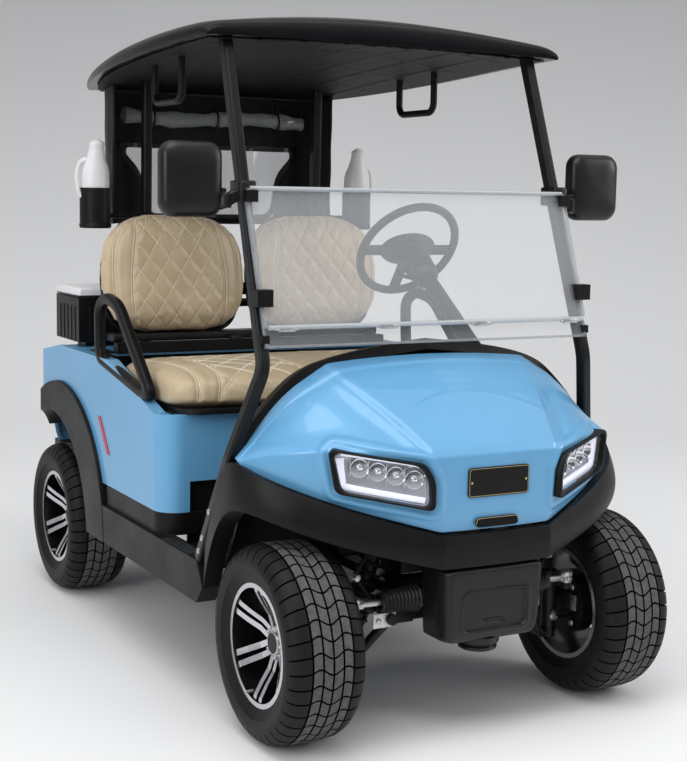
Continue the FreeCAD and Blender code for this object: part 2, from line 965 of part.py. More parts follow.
# Sill panels
sill_side = pad(
    "SillSide",
    "YZ_Plane",
    [
        (S.sill_tip_y, S.sill_base_z),
        (S.sill_rear_y + S.rear_corner * 2, S.sill_base_z),
        (S.sill_rear_y + S.rear_corner * 2, S.sill_top_z),
        (S.sill_tip_y, S.sill_top_z),
        (S.sill_front_y, S.sill_tip_z),
    ],
    S.body_half_width - S.sill_width,
    S.sill_width,
)
sill_cavity = box(
    "SillCavity",
    (S.body_half_width - S.sill_width - S.cut_over, S.body_half_width - S.sill_wall),
    (S.sill_tip_y + S.sill_wall, S.sill_rear_y + S.rear_corner * 3),
    (S.sill_base_z - S.cut_over, S.sill_top_z - S.sill_wall),
)
sill = cut(
    "Sill",
    sill_side,
    sill_cavity,
    arch_cylinder("SillArch", S.flare_y, S.flare_z, S.flare_radius),
)
sill_band = cut(
    "SillBand",
    plan_outline(NONE, S.seat_corner_y, S.rear_end_y, "BandPlan", S.sill_top_z, S.rear_base_z - S.seat_gap),
    plan_outline(
        S.rear_wall, S.seat_corner_y, S.rear_end_y, "BandPlanInner",
        S.sill_top_z - S.cut_over, S.rear_base_z + S.cut_over,
    ),
    arch_cylinder("BandArch", S.flare_y, S.flare_z, S.flare_radius),
    box(
        "BandRear",
        (-S.body_half_width, S.body_half_width),
        (S.sill_rear_y, S.rear_end_y + S.cut_over),
        (S.sill_top_z - S.cut_over, S.rear_base_z + S.cut_over),
    ),
)
nodes["rocker_panels"] = together("RockerPanels", sill, mirrored("SillMirror", sill), sill_band)


# Front cowl: hood crown, wings and face as creased patches
nose_origin = (NONE, S.nose_back_y, S.nose_base_z)
nose_spans = (S.body_half_width, -S.nose_length, S.nose_height)
cowl_shares = [
    [(0, 0.062, 0.980), (0.525, 0.042, 0.915), (0.675, 0.035, 0.790), (0.808, 0.030, 0.625),
        (0.910, 0.030, 0.500), (0.953, 0.030, 0.445)],
    [(0, 0.540, 0.870), (0.425, 0.488, 0.765), (0.600, 0.425, 0.700), (0.783, 0.300, 0.640),
        (0.920, 0.150, 0.520), (0.960, 0.062, 0.446)],
    [(0, 0.955, 0.530), (0.307, 0.935, 0.524), (0.508, 0.810, 0.540), (0.717, 0.655, 0.556),
        (0.892, 0.325, 0.505), (0.963, 0.100, 0.440)],
    [(0, 0.965, 0.320), (0.295, 0.938, 0.320), (0.510, 0.812, 0.350), (0.745, 0.625, 0.405),
        (0.892, 0.338, 0.440), (0.963, 0.112, 0.434)],
    [(0, 0.952, 0.125), (0.277, 0.928, 0.130), (0.500, 0.765, 0.200), (0.733, 0.590, 0.285),
        (0.892, 0.300, 0.370), (0.958, 0.125, 0.424)],
]
cowl_half = [[share_point(*p, nose_origin, nose_spans) for p in row] for row in cowl_shares]
cowl_grid = across_grid(cowl_half)
nodes["front_cowl"] = skin(
    "FrontCowl",
    cowl_grid,
    inner_grid(cowl_grid, S.panel_thickness),
    row_creases=(2,),
    column_creases=(4, 6),
)

# Front band with its wheel arches
band_shares = [
    [(0, 0.925, 0.110), (0.262, 0.900, 0.112), (0.480, 0.740, 0.185), (0.680, 0.570, 0.265),
        (0.840, 0.350, 0.335), (0.915, 0.150, 0.410), (0.940, 0.040, 0.440), (0.950, -0.110,
        0.375), (0.950, -0.240, 0.205), (0.950, -0.370, 0.010)],
    [(0, 0.990, 0.108), (0.268, 0.972, 0.110), (0.505, 0.820, 0.190), (0.720, 0.650, 0.272),
        (0.885, 0.440, 0.345), (0.972, 0.190, 0.425), (0.988, 0.060, 0.450), (0.990, -0.090,
        0.385), (0.988, -0.220, 0.215), (0.985, -0.350, 0.010)],
    [(0, 1.000, 0.020), (0.275, 0.985, 0.020), (0.520, 0.855, 0.095), (0.750, 0.690, 0.170),
        (0.930, 0.470, 0.240), (1.000, 0.225, 0.290), (1.006, 0.080, 0.260), (1.006, -0.070,
        0.120), (1.004, -0.205, -0.040), (1.000, -0.310, -0.180)],
    [(0, 0.990, -0.060), (0.272, 0.960, -0.060), (0.520, 0.835, 0.010), (0.740, 0.680, 0.085),
        (0.905, 0.470, 0.165), (0.990, 0.260, 0.212), (1.005, 0.060, 0.185), (1.006, -0.120,
        0.060), (1.003, -0.250, -0.120), (1.000, -0.330, -0.300)],
    [(0, 0.890, -0.066), (0.250, 0.860, -0.066), (0.470, 0.740, 0.005), (0.660, 0.590, 0.080),
        (0.800, 0.410, 0.160), (0.880, 0.220, 0.205), (0.910, 0.060, 0.180), (0.920, -0.110,
        0.056), (0.920, -0.235, -0.122), (0.920, -0.322, -0.300)],
]
band_half = [[share_point(*p, nose_origin, nose_spans) for p in row] for row in band_shares]
band_grid = across_grid(band_half)
nodes["bumper_band"] = skin(
    "BumperBand",
    band_grid,
    inner_grid(band_grid, S.band_wall),
    row_creases=(1, 3),
    column_creases=(8, 10),
)

# Bumper block
block = pad(
    "Block",
    "YZ_Plane",
    [
        (S.block_front_y, S.block_top_z),
        (S.block_front_y, S.block_top_z - S.block_edge * 4),
        (S.block_toe_y, S.block_base_z),
        (S.block_back_y + S.block_edge * 2, S.block_base_z),
        (S.block_back_y + S.block_edge * 4, S.block_base_z + S.block_edge * 3),
        (S.block_back_y + S.block_edge * 4, S.block_top_z),
    ],
    -S.block_half_width,
    S.block_half_width * 2,
)
rounded(block, S.block_edge,
    lambda edge: along("Z")(edge) or not along("X")(edge) and edge.Length > float(S.block_edge) * 5)
block_boss = rod(
    "BlockBoss",
    (NONE, S.block_back_y - S.block_edge, S.block_base_z - S.block_boss_depth),
    "Z",
    S.block_boss_radius,
    S.block_boss_depth + S.block_edge,
)
rack_notch = box(
    "RackNotch",
    (-S.body_half_width, S.body_half_width),
    (S.front_axle_y - S.arm_length - S.rack_radius - S.cut_over, S.rail_front_y + S.cut_over),
    (S.king_base_z + S.king_height - S.block_edge, floor_z + S.block_edge),
)
block_panel = rounded(
    pad(
        "BlockPanel",
        "XZ_Plane",
        [
            (-S.block_panel_half_width, S.block_panel_base_z),
            (S.block_panel_half_width, S.block_panel_base_z),
            (S.block_panel_half_width, S.block_panel_base_z + S.block_panel_height),
            (-S.block_panel_half_width, S.block_panel_base_z + S.block_panel_height),
        ],
        S.block_toe_y + S.block_panel_depth,
        S.block_panel_depth * 2,
    ),
    S.block_edge,
    along("Y"),
)
nodes["bumper_block"] = cut("BumperBlock", fuse("BlockWhole", block, block_boss), rack_notch, block_panel)


# Headlamps
def lamp_outline(inset):
    """Corners of the lamp as (along the face, up) pairs."""
    long, high = float(S.lamp_length), float(S.lamp_height)
    gap = float(inset)
    shares = [(0.00, 0.03), (0.005, 0.50), (0.10, 0.76), (0.955, 0.97), (1.0, 0.90), (0.93, 0.30)]
    middle = (0.5, 0.5)
    corners = []
    for u, v in shares:
        reach_u, reach_v = (u - middle[0]) * long, (v - middle[1]) * high
        size = math.hypot(reach_u, reach_v)
        corners.append((reach_u * (1 - gap / size) + long / 2, reach_v * (1 - gap / size) + high / 2))
    return corners


def lamp_prism(name, inset, depth, proud):
    """The lamp outline as a prism set into the face of the nose."""
    corners = [Vector(u, 0, v) for u, v in lamp_outline(inset)]
    face = Part.Face(Part.makePolygon(corners + corners[:1]))
    face.translate(Vector(0, -float(proud), 0))
    solid = face.extrude(Vector(0, float(depth), 0))
    turn = FreeCAD.Rotation(AXES["Z"], float(S.lamp_turn))
    return shape_feature(name, solid, turn, (S.lamp_inner_x, S.lamp_inner_y, S.lamp_base_z))


bezel_hole = lamp_prism("BezelHole", S.lamp_frame, S.lamp_depth * 4, S.lamp_depth)
bezel = cut("Bezel", lamp_prism("BezelBlock", NONE, S.lamp_depth, S.lamp_proud), bezel_hole)
lens = lamp_prism("Lens", S.lamp_frame + S.seat_gap, S.lamp_depth * 0.8, S.lamp_proud * 0.4)
nodes["headlamp_bezels"] = both_sides("HeadlampBezels", bezel)
nodes["headlamp_lenses"] = both_sides("HeadlampLenses", lens)
lamp_pocket = both_sides("LampPocket", lamp_prism("LampPocketSide", -S.seat_gap, S.lamp_depth * 3,
    S.lamp_depth))
nodes["front_cowl"] = cut("CowlWithLamps", nodes["front_cowl"], lamp_pocket)

# Blank number plate
plate_front = S.nose_back_y - S.nose_length * 0.958
nodes["number_plate"] = rounded(
    pad(
        "NumberPlate",
        "XZ_Plane",
        [
            (-S.plate_width / 2, S.plate_z - S.plate_height / 2),
            (S.plate_width / 2, S.plate_z - S.plate_height / 2),
            (S.plate_width / 2, S.plate_z + S.plate_height / 2),
            (-S.plate_width / 2, S.plate_z + S.plate_height / 2),
        ],
        plate_front + S.plate_thickness,
        S.plate_thickness,
    ),
    S.plate_corner,
    along("Y"),
)

# Dash with the raised collar behind the cowl
dash_shares = [
    [(0, 0.040, 0.978), (0.525, 0.022, 0.913), (0.675, 0.015, 0.788), (0.808, 0.010, 0.623),
        (0.900, 0.010, 0.500)],
    [(0, 0.030, 1.020), (0.545, 0.012, 0.955), (0.705, 0.005, 0.820), (0.845, 0.000, 0.640),
        (0.930, 0.000, 0.500)],
    [(0, -0.160, 1.015), (0.540, -0.170, 0.945), (0.700, -0.170, 0.815), (0.840, -0.160, 0.635),
        (0.925, -0.100, 0.498)],
    [(0, -0.330, 0.930), (0.510, -0.330, 0.870), (0.660, -0.310, 0.760), (0.780, -0.260, 0.610),
        (0.880, -0.160, 0.490)],
    [(0, -0.330, 0.560), (0.500, -0.320, 0.560), (0.640, -0.300, 0.540), (0.760, -0.250, 0.500),
        (0.860, -0.150, 0.450)],
]
dash_half = [[share_point(*p, nose_origin, nose_spans) for p in row] for row in dash_shares]
dash_grid = across_grid(dash_half)
dash_skin = skin(
    "DashSkin", dash_grid, inner_grid(dash_grid, S.dash_wall), row_creases=(1,), column_creases=(4,)
)

# Cup holders in the middle of the dash
cup_back = S.cup_block_back_y
cup_block = rounded(
    pad(
        "CupBlock",
        "XY_Plane",
        [
            (-S.cup_block_width / 2, cup_back - S.cup_block_depth),
            (S.cup_block_width / 2, cup_back - S.cup_block_depth),
            (S.cup_block_width / 2, cup_back),
            (-S.cup_block_width / 2, cup_back),
        ],
        S.cup_block_z,
        S.cup_block_height,
    ),
    S.block_edge,
    along("Z"),
)
cups = [
    rod(
        f"Cup{i}",
        (S.cup_spacing * (side / 2), cup_back - S.cup_block_depth / 2,
            S.cup_block_z + S.cup_block_height - S.cup_depth),
        "Z",
        S.cup_radius,
        S.cup_depth + S.cut_over,
    )
    for i, side in enumerate((-1, 1))
]
nodes["cup_holders"] = cut("CupHolders", cup_block, *cups)

# Front struts
reach_share = 0.12
strut_path = [
    tuple(
        top + (top - middle) * reach_share
        for top, middle in (
            (S.strut_top_x, S.strut_mid_x),
            (S.strut_top_y, S.strut_mid_y),
            (S.strut_top_z, S.strut_mid_z),
        )
    ),
    (S.strut_mid_x, S.strut_mid_y, S.strut_mid_z),
    (S.strut_knee_x, S.strut_knee_y, S.strut_knee_z),
    (S.strut_knee_x + S.strut_width / 4, S.strut_foot_y, S.strut_foot_z),
]
front_strut = flat_bar("FrontStrut", strut_path, S.strut_bend_radius, S.strut_width, S.strut_depth)
nodes["front_struts"] = both_sides("FrontStruts", cut("FrontStrutSeated", front_strut, sill))

# Rear struts
rear_strut = flat_bar(
    "RearStrut",
    [
        (
            S.rear_strut_top_x,
            S.rear_strut_top_y + (S.rear_strut_top_y - S.rear_strut_foot_y) * reach_share,
            S.rear_strut_top_z + (S.rear_strut_top_z - S.rear_top_z) * reach_share,
        ),
        (S.rear_strut_foot_x, S.rear_strut_foot_y, S.rear_top_z + S.seat_gap),
    ],
    S.strut_bend_radius,
    S.strut_width,
    S.strut_depth,
)
nodes["rear_struts"] = both_sides("RearStruts", cut("RearStrutSeated", rear_strut, body_outer))


# Roof shell: rows run back from the front lip
roof_row_shares = [
    # along, half width, centre height, side height, lip height
    (0.004, 0.970, 0.440, 0.430, 0.415),
    (0.000, 0.980, 0.700, 0.580, 0.420),
    (0.030, 0.985, 0.860, 0.620, 0.415),
    (0.200, 1.000, 0.970, 0.620, 0.380),
    (0.500, 1.000, 0.985, 0.520, 0.260),
    (0.800, 0.930, 0.760, 0.330, 0.150),
    (0.970, 0.800, 0.430, 0.200, 0.090),
    (1.000, 0.760, 0.210, 0.130, 0.080),
]
roof_column_shares = [0, 0.3, 0.6, 0.85, 0.95]


def roof_row(along_share, width_share, centre, side, lip):
    """One row of control points from the middle of the roof to its lip."""
    y = float(S.roof_front_y) + along_share * float(S.roof_length)
    half = width_share * float(S.roof_half_width)
    base, high = float(S.roof_base_z), float(S.roof_height)
    line = []
    for column in roof_column_shares:
        crown = side + (centre - side) * (1 - column * column)
        line.append(Vector(half * column, y, base + high * crown))
    line.append(Vector(half, y, base + high * (side + lip) / 2))
    line.append(Vector(half * 0.985, y, base + high * lip))
    return line


def liner_row(along_share, width_share, centre, side, lip):
    """One row of the flat underside, set in from the outer skin."""
    wall = float(S.roof_wall)
    y = float(S.roof_front_y) + wall + along_share * (float(S.roof_length) - wall * 2)
    half = width_share * float(S.roof_half_width) - wall
    base, high = float(S.roof_base_z), float(S.roof_height)
    line = []
    for column in roof_column_shares:
        rise = lip + (0.05 + 0.25 * (centre - side)) * (1 - column * column)
        line.append(Vector(half * column, y, base + high * rise))
    line.append(Vector(half * 0.985, y, base + high * lip))
    line.append(Vector(half, y, base + high * lip))
    return line


roof_grid = across_grid([roof_row(*row) for row in roof_row_shares])
liner_grid = across_grid([liner_row(*row) for row in roof_row_shares])
nodes["roof"] = skin("Roof", roof_grid, liner_grid)
above_liner = [[spot + AXES["Z"] * float(S.roof_height) * 2 for spot in row] for row in liner_grid]
roof_space = skin("RoofSpace", above_liner, liner_grid)
nodes["front_struts"] = cut("FrontStrutsTrimmed", nodes["front_struts"], roof_space)
nodes["rear_struts"] = cut("RearStrutsTrimmed", nodes["rear_struts"], roof_space)

# Grab handles under the roof
handle = bent_bar(
    "RoofHandle",
    [
        (S.handle_x, S.handle_y, S.roof_base_z + S.roof_height / 2),
        (S.handle_x, S.handle_y, S.roof_base_z - S.handle_drop),
        (S.handle_x, S.handle_y + S.handle_length, S.roof_base_z - S.handle_drop),
        (S.handle_x, S.handle_y + S.handle_length, S.roof_base_z + S.roof_height / 2),
    ],
    S.handle_radius * 3,
    S.handle_radius,
)
nodes["roof_handles"] = cut("RoofHandles", both_sides("RoofHandlesLong", handle), roof_space)


# Windshield: a fixed pane and the upper pane folded down before it
def pane(name, top, base, out):
    """A pane square to the front struts, a set distance before them."""
    slope = (S.strut_top_y - S.strut_mid_y) / float(S.strut_top_z - S.strut_mid_z)

    def strut_y(z):
        return S.strut_mid_y + slope * float(z - S.strut_mid_z) - S.strut_depth / 2 - out

    return pad(
        name,
        "YZ_Plane",
        [
            (strut_y(base), base),
            (strut_y(base) + S.glass_thickness, base),
            (strut_y(top) + S.glass_thickness, top),
            (strut_y(top), top),
        ],
        -S.glass_half_width,
        S.glass_half_width * 2,
    )


nodes["windshield_lower"] = pane("WindshieldLower", S.glass_top_z, S.glass_base_z,
    S.glass_thickness + S.clip_size / 8)
nodes["windshield_upper"] = pane(
    "WindshieldUpper", S.glass_top_z, S.glass_fold_z, S.glass_thickness * 2 + S.glass_gap + S.clip_size / 8
)

# Clips that hold the panes to the struts
def strut_front_y(z):
    """The strut's front face at a height."""
    slope = (S.strut_top_y - S.strut_mid_y) / float(S.strut_top_z - S.strut_mid_z)
    return S.strut_mid_y + slope * float(z - S.strut_mid_z) - S.strut_depth / 2


def strut_x(z):
    slope = (S.strut_top_x - S.strut_mid_x) / float(S.strut_top_z - S.strut_mid_z)
    return S.strut_mid_x + slope * float(z - S.strut_mid_z)


def clip(name, z, size, reach):
    middle_x = strut_x(z)
    return box(
        name,
        (middle_x - size / 2, middle_x + size / 2),
        (strut_front_y(z) - reach, strut_front_y(z) + size / 4),
        (z - size / 2, z + size / 2),
    )


clips = [
    clip("FoldClip", S.clip_z, S.clip_size, S.clip_size),
    clip("LowClip", S.glass_base_z + S.clip_size / 2, S.clip_size / 2, S.clip_size / 3),
    clip("HighClip", S.glass_top_z - S.clip_size / 2, S.clip_size * 0.7, S.clip_size * 0.9),
]
nodes["windshield_clips"] = cut(
    "WindshieldClips",
    both_sides("ClipsWhole", together("ClipsSide", *clips)),
    nodes["windshield_lower"],
    nodes["windshield_upper"],
    nodes["front_struts"],
)

# Mirrors
mirror_head = rounded(
    pad(
        "MirrorHead",
        "XZ_Plane",
        [
            (S.mirror_x - S.mirror_width / 2, S.mirror_z - S.mirror_height / 2),
            (S.mirror_x + S.mirror_width / 2, S.mirror_z - S.mirror_height / 2),
            (S.mirror_x + S.mirror_width / 2, S.mirror_z + S.mirror_height / 2),
            (S.mirror_x - S.mirror_width / 2, S.mirror_z + S.mirror_height / 2),
        ],
        S.mirror_y + S.mirror_depth / 2,
        S.mirror_depth,
    ),
    S.mirror_corner,
    along("Y"),
)
mirror_start = strut_x(S.mirror_z) - S.strut_width
mirror_arm = rod(
    "MirrorArm",
    (mirror_start, S.mirror_y, S.mirror_z),
    "X",
    S.mirror_arm_radius,
    S.mirror_x - S.mirror_width / 2 + S.mirror_arm_radius - mirror_start,
)
mirror_collar = box(
    "MirrorCollar",
    (mirror_start, mirror_start + S.strut_width * 2),
    (S.mirror_y - S.strut_depth * 0.7, S.mirror_y + S.strut_depth * 0.9),
    (S.mirror_z - S.strut_width / 2, S.mirror_z + S.strut_width / 2),
)
mirror = cut("MirrorSeated", fuse("MirrorWhole", mirror_head, mirror_arm, mirror_collar),
    nodes["front_struts"])
nodes["mirrors"] = both_sides("Mirrors", mirror)

# Seat
seat_base_low = S.cushion_base_z - S.seat_base_height - S.seat_gap
cushion_outline = [
    (-S.cushion_half_width, S.cushion_front_y),
    (S.cushion_half_width, S.cushion_front_y),
    (S.cushion_half_width, S.cushion_rear_y),
    (-S.cushion_half_width, S.cushion_rear_y),
]
nodes["seat_cushion"] = rounded(
    rounded(
        pad("SeatCushion", "XY_Plane", cushion_outline, S.cushion_base_z, S.cushion_height),
        S.rear_corner,
        along("Z"),
    ),
    S.strut_width,
    lambda edge: edge.BoundBox.ZMin > float(S.cushion_height) * 0.9,
)
seat_base_outline = [
    (x * 0.97, y if y is S.cushion_front_y else y - S.rear_wall) for x, y in cushion_outline
]
nodes["seat_base"] = rounded(
    pad("SeatBase", "XY_Plane", seat_base_outline, seat_base_low, S.seat_base_height),
    S.rear_corner,
    along("Z"),
)
deck_hole = box(
    "DeckHole",
    (-S.battery_length / 2, S.battery_length / 2),
    (S.battery_y - S.battery_width / 2, S.battery_y + S.battery_width / 2),
    (S.seat_deck_z - S.cut_over, S.seat_deck_z + S.seat_deck_thickness + S.cut_over),
)
seat_deck = box(
    "SeatDeckPlate",
    (-S.toe_half_width + S.seat_gap, S.toe_half_width - S.seat_gap),
    (S.seat_corner_y + S.rear_wall * 4, S.back_rail_y),
    (S.seat_deck_z, S.seat_deck_z + S.seat_deck_thickness),
)
deck_posts = [
    box(
        f"DeckPost{i}{j}",
        (x - S.cross_width * 0.4, x + S.cross_width * 0.4),
        (y, y + S.cross_width * 0.6),
        (floor_z + S.seat_gap, S.seat_deck_z),
    )
    for i, x in enumerate((-S.rail_x, S.rail_x))
    for j, y in enumerate((S.seat_corner_y + S.cross_width * 0.9,
        S.battery_y + S.battery_width / 2 + S.cross_width * 0.4))
]
nodes["seat_deck"] = fuse("SeatDeckWhole", cut("SeatDeck", seat_deck, deck_hole), *deck_posts)

back_row_shares = [
    # height, half width, bulge at the middle
    (0.00, 0.62, 0.10),
    (0.02, 0.86, 0.55),
    (0.22, 1.00, 1.00),
    (0.55, 1.02, 1.00),
    (0.85, 0.86, 0.90),
    (0.99, 0.56, 0.50),
    (1.00, 0.40, 0.10),
]


def back_grid(front_share, rear_share):
    """Control points of one face of a seat back, edge to edge."""
    half, high = float(S.back_width) / 2, float(S.back_height)
    depth = float(S.back_thickness)
    lean = float(S.back_lean)
    grid = []
    for height, width, bulge in back_row_shares:
        line = []
        for across in (-1, -0.9, -0.45, 0, 0.45, 0.9, 1):
            edge = 1 - abs(across) ** 4
            out = front_share + (rear_share - front_share) * bulge * edge
            y = float(S.back_front_y) + lean * height + depth * out
            line.append(Vector(half * width * across, y, float(S.back_base_z) + high * height))
        grid.append(line)
    return grid


for side_name, side in (("right", -1), ("left", 1)):
    pillow = skin(f"SeatBack{side_name}", back_grid(0.55, 0.0), back_grid(0.70, 1.0))
    nodes[f"seat_back_{side_name}"] = move(pillow, S.back_centre_x * side, NONE, NONE)

shells = [
    move(skin(f"BackShell{i}", back_grid(0.708, 1.008), back_grid(0.86, 1.18)), S.back_centre_x * side,
        NONE, NONE)
    for i, side in enumerate((-1, 1))
]
back_rail = box(
    "BackRail",
    (-S.toe_half_width, S.toe_half_width),
    (S.back_rail_y - S.back_rail_depth / 2, S.back_rail_y + S.back_rail_depth / 2),
    (S.rear_top_z + S.seat_gap, S.rear_top_z + S.seat_gap + S.back_rail_height),
)
rear_strut_front_y = S.rear_strut_foot_y - S.strut_depth / 2 - S.seat_gap * 2
back_bar = box(
    "BackBar",
    (-S.back_centre_x * 1.6, S.back_centre_x * 1.6),
    (rear_strut_front_y - S.strut_depth * 1.2, rear_strut_front_y),
    (S.back_base_z + S.back_height * 0.3, S.back_base_z + S.back_height * 0.4),
)
nodes["seat_frame"] = together(
    "SeatFrame", back_rail, cut("SeatFrameSeated", fuse("BarAndShells", back_bar, *shells),
        nodes["rear_struts"])
)


# Hip restraints: closed loops beside the cushion
def restraint_loop(name, inset):
    """The loop's side outline as a prism across its thickness."""
    loop_shares = [(0.00, 0.00), (0.12, -0.02), (0.98, 0.24), (1.00, 0.86), (0.84, 1.00), (0.60, 0.93)]
    low_y, low_z = S.seat_corner_y + S.rear_corner * 1.35, S.seat_front_z + S.seat_base_height * 1.6
    long, high = S.rear_corner * 7.6, S.rear_corner * 4.4
    outline = []
    for u, v in loop_shares:
        u_in = 0.5 + (u - 0.5) * inset
        v_in = 0.48 + (v - 0.48) * inset
        outline.append((low_y + long * u_in, low_z + high * v_in))
    over = S.cut_over if inset < 1 else NONE
    return pad(name, "YZ_Plane", outline, S.hip_x - S.hip_width / 2 - over, S.hip_width + over * 2)


def rounded_restraint(name, inset):
    """The loop with wide arcs at its top and tighter ones at its foot."""
    middle_z = S.seat_front_z + S.seat_base_height * 1.6 + S.rear_corner * 2.2

    def upper(edge):
        return along("X")(edge) and edge.CenterOfMass.z > float(middle_z)

    def lower(edge):
        return along("X")(edge) and edge.CenterOfMass.z < float(middle_z)

    top_rounded = rounded(restraint_loop(name, inset), S.hip_bar * (1.9 * inset), upper)
    return rounded(top_rounded, S.hip_bar * (0.75 * inset), lower)


hip_loop = cut("HipLoop", rounded_restraint("HipOuter", 1), rounded_restraint("HipInner", 0.70))
nodes["hip_restraints"] = both_sides("HipRestraints", cut("HipLoopSeated", hip_loop, body_outer))


# Steering column, wheel and shaft line
slope = math.radians(SIZES["column_slope"])
column_axis = Vector(0, math.cos(slope), math.sin(slope))
wheel_centre = point(S.column_x, S.wheel_centre_y, S.wheel_centre_z)


def on_column(name, radius, low, high):
    """A round piece on the steering axis, between distances from the wheel's centre."""
    bar = doc.addObject("Part::Cylinder", name)
    bind(bar, "Radius", radius)
    bind(bar, "Height", high - low)
    rise, run = math.sin(slope), math.cos(slope)
    return move(
        bar,
        S.column_x,
        S.wheel_centre_y + low * run,
        S.wheel_centre_z + low * rise,
        FreeCAD.Rotation(AXES["Z"], column_axis),
    )


ring = doc.addObject("Part::Torus", "WheelRing")
bind(ring, "Radius1", S.wheel_ring_radius)
bind(ring, "Radius2", S.wheel_grip_radius)
move(ring, S.column_x, S.wheel_centre_y, S.wheel_centre_z, FreeCAD.Rotation(AXES["Z"], column_axis))
wheel_hub = on_column("WheelHub", S.wheel_hub_radius, -S.wheel_hub_depth, NONE)
spoke_bars = []
for i, turn in enumerate((0, 90, 180)):
    spoke = doc.addObject("Part::Box", f"WheelSpoke{i}")
    bind(spoke, "Length", S.wheel_ring_radius)
    bind(spoke, "Width", S.wheel_spoke_width)
    bind(spoke, "Height", S.wheel_spoke_depth)
    tilt = FreeCAD.Rotation(AXES["Z"], column_axis)
    around = FreeCAD.Rotation(AXES["Z"], turn)
    corner = Vector(0, -float(S.wheel_spoke_width) / 2, -float(S.wheel_spoke_depth))
    local = FreeCAD.Placement(Vector(), around).multiply(FreeCAD.Placement(corner, FreeCAD.Rotation()))
    spoke.Placement = FreeCAD.Placement(wheel_centre, tilt).multiply(local)
    spoke_bars.append(spoke)
nodes["steering_wheel"] = fuse("SteeringWheel", ring, wheel_hub, *spoke_bars)
column_top = -S.wheel_hub_depth - S.seat_gap
column_tube = on_column("ColumnTube", S.column_radius, -S.column_length, column_top)
column_pod = on_column("ColumnPod", S.column_radius * 1.8, column_top - S.column_radius * 4,
    column_top - S.column_radius)
column_lever = slanted_rod(
    "ColumnLever",
    (S.column_x, S.wheel_centre_y - S.column_radius * 4, S.wheel_centre_z - S.column_radius * 4),
    (S.column_x - S.column_radius * 4, S.wheel_centre_y - S.column_radius * 4,
        S.wheel_centre_z - S.column_radius * 3),
    S.tie_radius * 0.7,
)
nodes["steering_column"] = fuse("SteeringColumn", column_tube, column_pod, column_lever)

# Front suspension: lower and upper arms, uprights, rack and tie rods
king_y = S.front_axle_y
king_top = S.king_base_z + S.king_height


def knuckle(name, side):
    """An upright with its steering arm, spindle, hub and brake drum, at rest."""
    barrel = rod(name + "Barrel", (S.king_x * side, king_y, S.king_base_z), "Z", S.king_radius * 1.5,
        S.king_height)
    span = S.front_hub_x - S.king_x
    spindle_end = span + S.rim_half_width - S.rim_wall - S.dish_depth - S.hub_cap_length * 1.2
    start = (S.king_x * side, king_y, S.tyre_radius)
    pieces = [
        barrel,
        axle_stub(name + "Spindle", start, side, S.axle_bore_radius - S.seat_gap / 6, spindle_end),
        axle_stub(name + "Hub", start, side, S.hub_radius, span + S.rim_wall * 4),
        axle_stub(name + "Drum", (S.king_x * side + S.drum_depth * side, king_y, S.tyre_radius), side,
            S.drum_radius, S.drum_depth),
    ]
    eye = (S.king_x * side - S.king_radius * side, king_y - S.arm_length, S.king_base_z + S.king_height)
    pieces.append(rod(name + "Eye", (eye[0], eye[1], eye[2] - S.king_radius), "Z", S.king_radius,
        S.king_radius))
    pieces.append(
        slanted_rod(
            name + "Arm",
            (S.king_x * side, king_y, eye[2] - S.king_radius / 2),
            (eye[0], eye[1], eye[2] - S.king_radius / 2),
            S.king_radius * 0.4,
        )
    )
    return fuse(name, *pieces)


def axle_stub(name, start, side, radius, length):
    """A cylinder that runs outward on the given side."""
    x, y, z = start
    return rod(name, (x if side > 0 else x - length, y, z), "X", radius, length)


for side_name, side in (("right", -1), ("left", 1)):
    nodes[f"knuckle_{side_name}"] = knuckle(f"Knuckle{side_name}", side)

arm_gap = S.seat_gap * 2
pivot_x = S.rail_x + S.rail_width / 2 + S.a_arm_radius * 1.2 + S.seat_gap
lower_eye = rod(
    "LowerEye", (S.king_x, king_y,
        S.king_base_z - arm_gap - S.a_arm_radius * 2), "Z", S.king_radius * 1.6, S.a_arm_radius * 2
)
upper_eye = rod("UpperEye", (S.king_x, king_y, king_top + arm_gap), "Z", S.king_radius * 1.6, S.king_radius)
arms = []
upper_radius = S.a_arm_radius * 0.6
for level, eye_z, root_z, radius in (
    ("Lower", S.king_base_z - arm_gap - S.a_arm_radius, S.rail_base_z + S.a_arm_radius, S.a_arm_radius),
    ("Upper", king_top + arm_gap + upper_radius, floor_z - S.a_arm_radius, upper_radius),
):
    for way_name, way in (("Front", -1), ("Rear", 1)):
        root_y = king_y + S.a_arm_spread * way
        elbow_x = S.king_x - S.king_radius * 3
        elbow_y = king_y + S.a_arm_spread * (0.3 * way)
        arms.append(
            bent_bar(
                f"{level}Arm{way_name}",
                [(S.king_x, king_y, eye_z), (elbow_x, elbow_y, eye_z), (pivot_x, root_y, root_z)],
                S.a_arm_radius * 3,
                radius,
            )
        )
        arms.append(
            rod(
                f"{level}Pivot{way_name}",
                (pivot_x, root_y - S.a_arm_radius * 1.5, root_z),
                "Y",
                S.a_arm_radius * 1.2,
                S.a_arm_radius * 3,
            )
        )
shock_share = 0.45
shock_foot = (
    S.king_x - (S.king_x - pivot_x) * shock_share,
    king_y + S.a_arm_spread * shock_share,
    S.king_base_z + (S.rail_base_z - S.king_base_z) * shock_share,
)
shock_head = (S.rail_x + S.rail_width / 2, shock_foot[1], S.shock_top_z)
shock = slanted_rod("Shock", shock_foot, shock_head, S.shock_radius)
tower = box(
    "ShockTower",
    (S.rail_x - S.rail_width / 2, S.rail_x + S.rail_width / 2),
    (shock_foot[1] - S.shock_radius * 1.4, shock_foot[1] + S.shock_radius * 1.4),
    (floor_z + S.seat_gap, S.shock_top_z + S.shock_radius),
)
suspension_side = fuse("SuspensionSide", lower_eye, upper_eye, *arms, shock, tower)
nodes["front_suspension"] = both_sides("FrontSuspension", suspension_side)

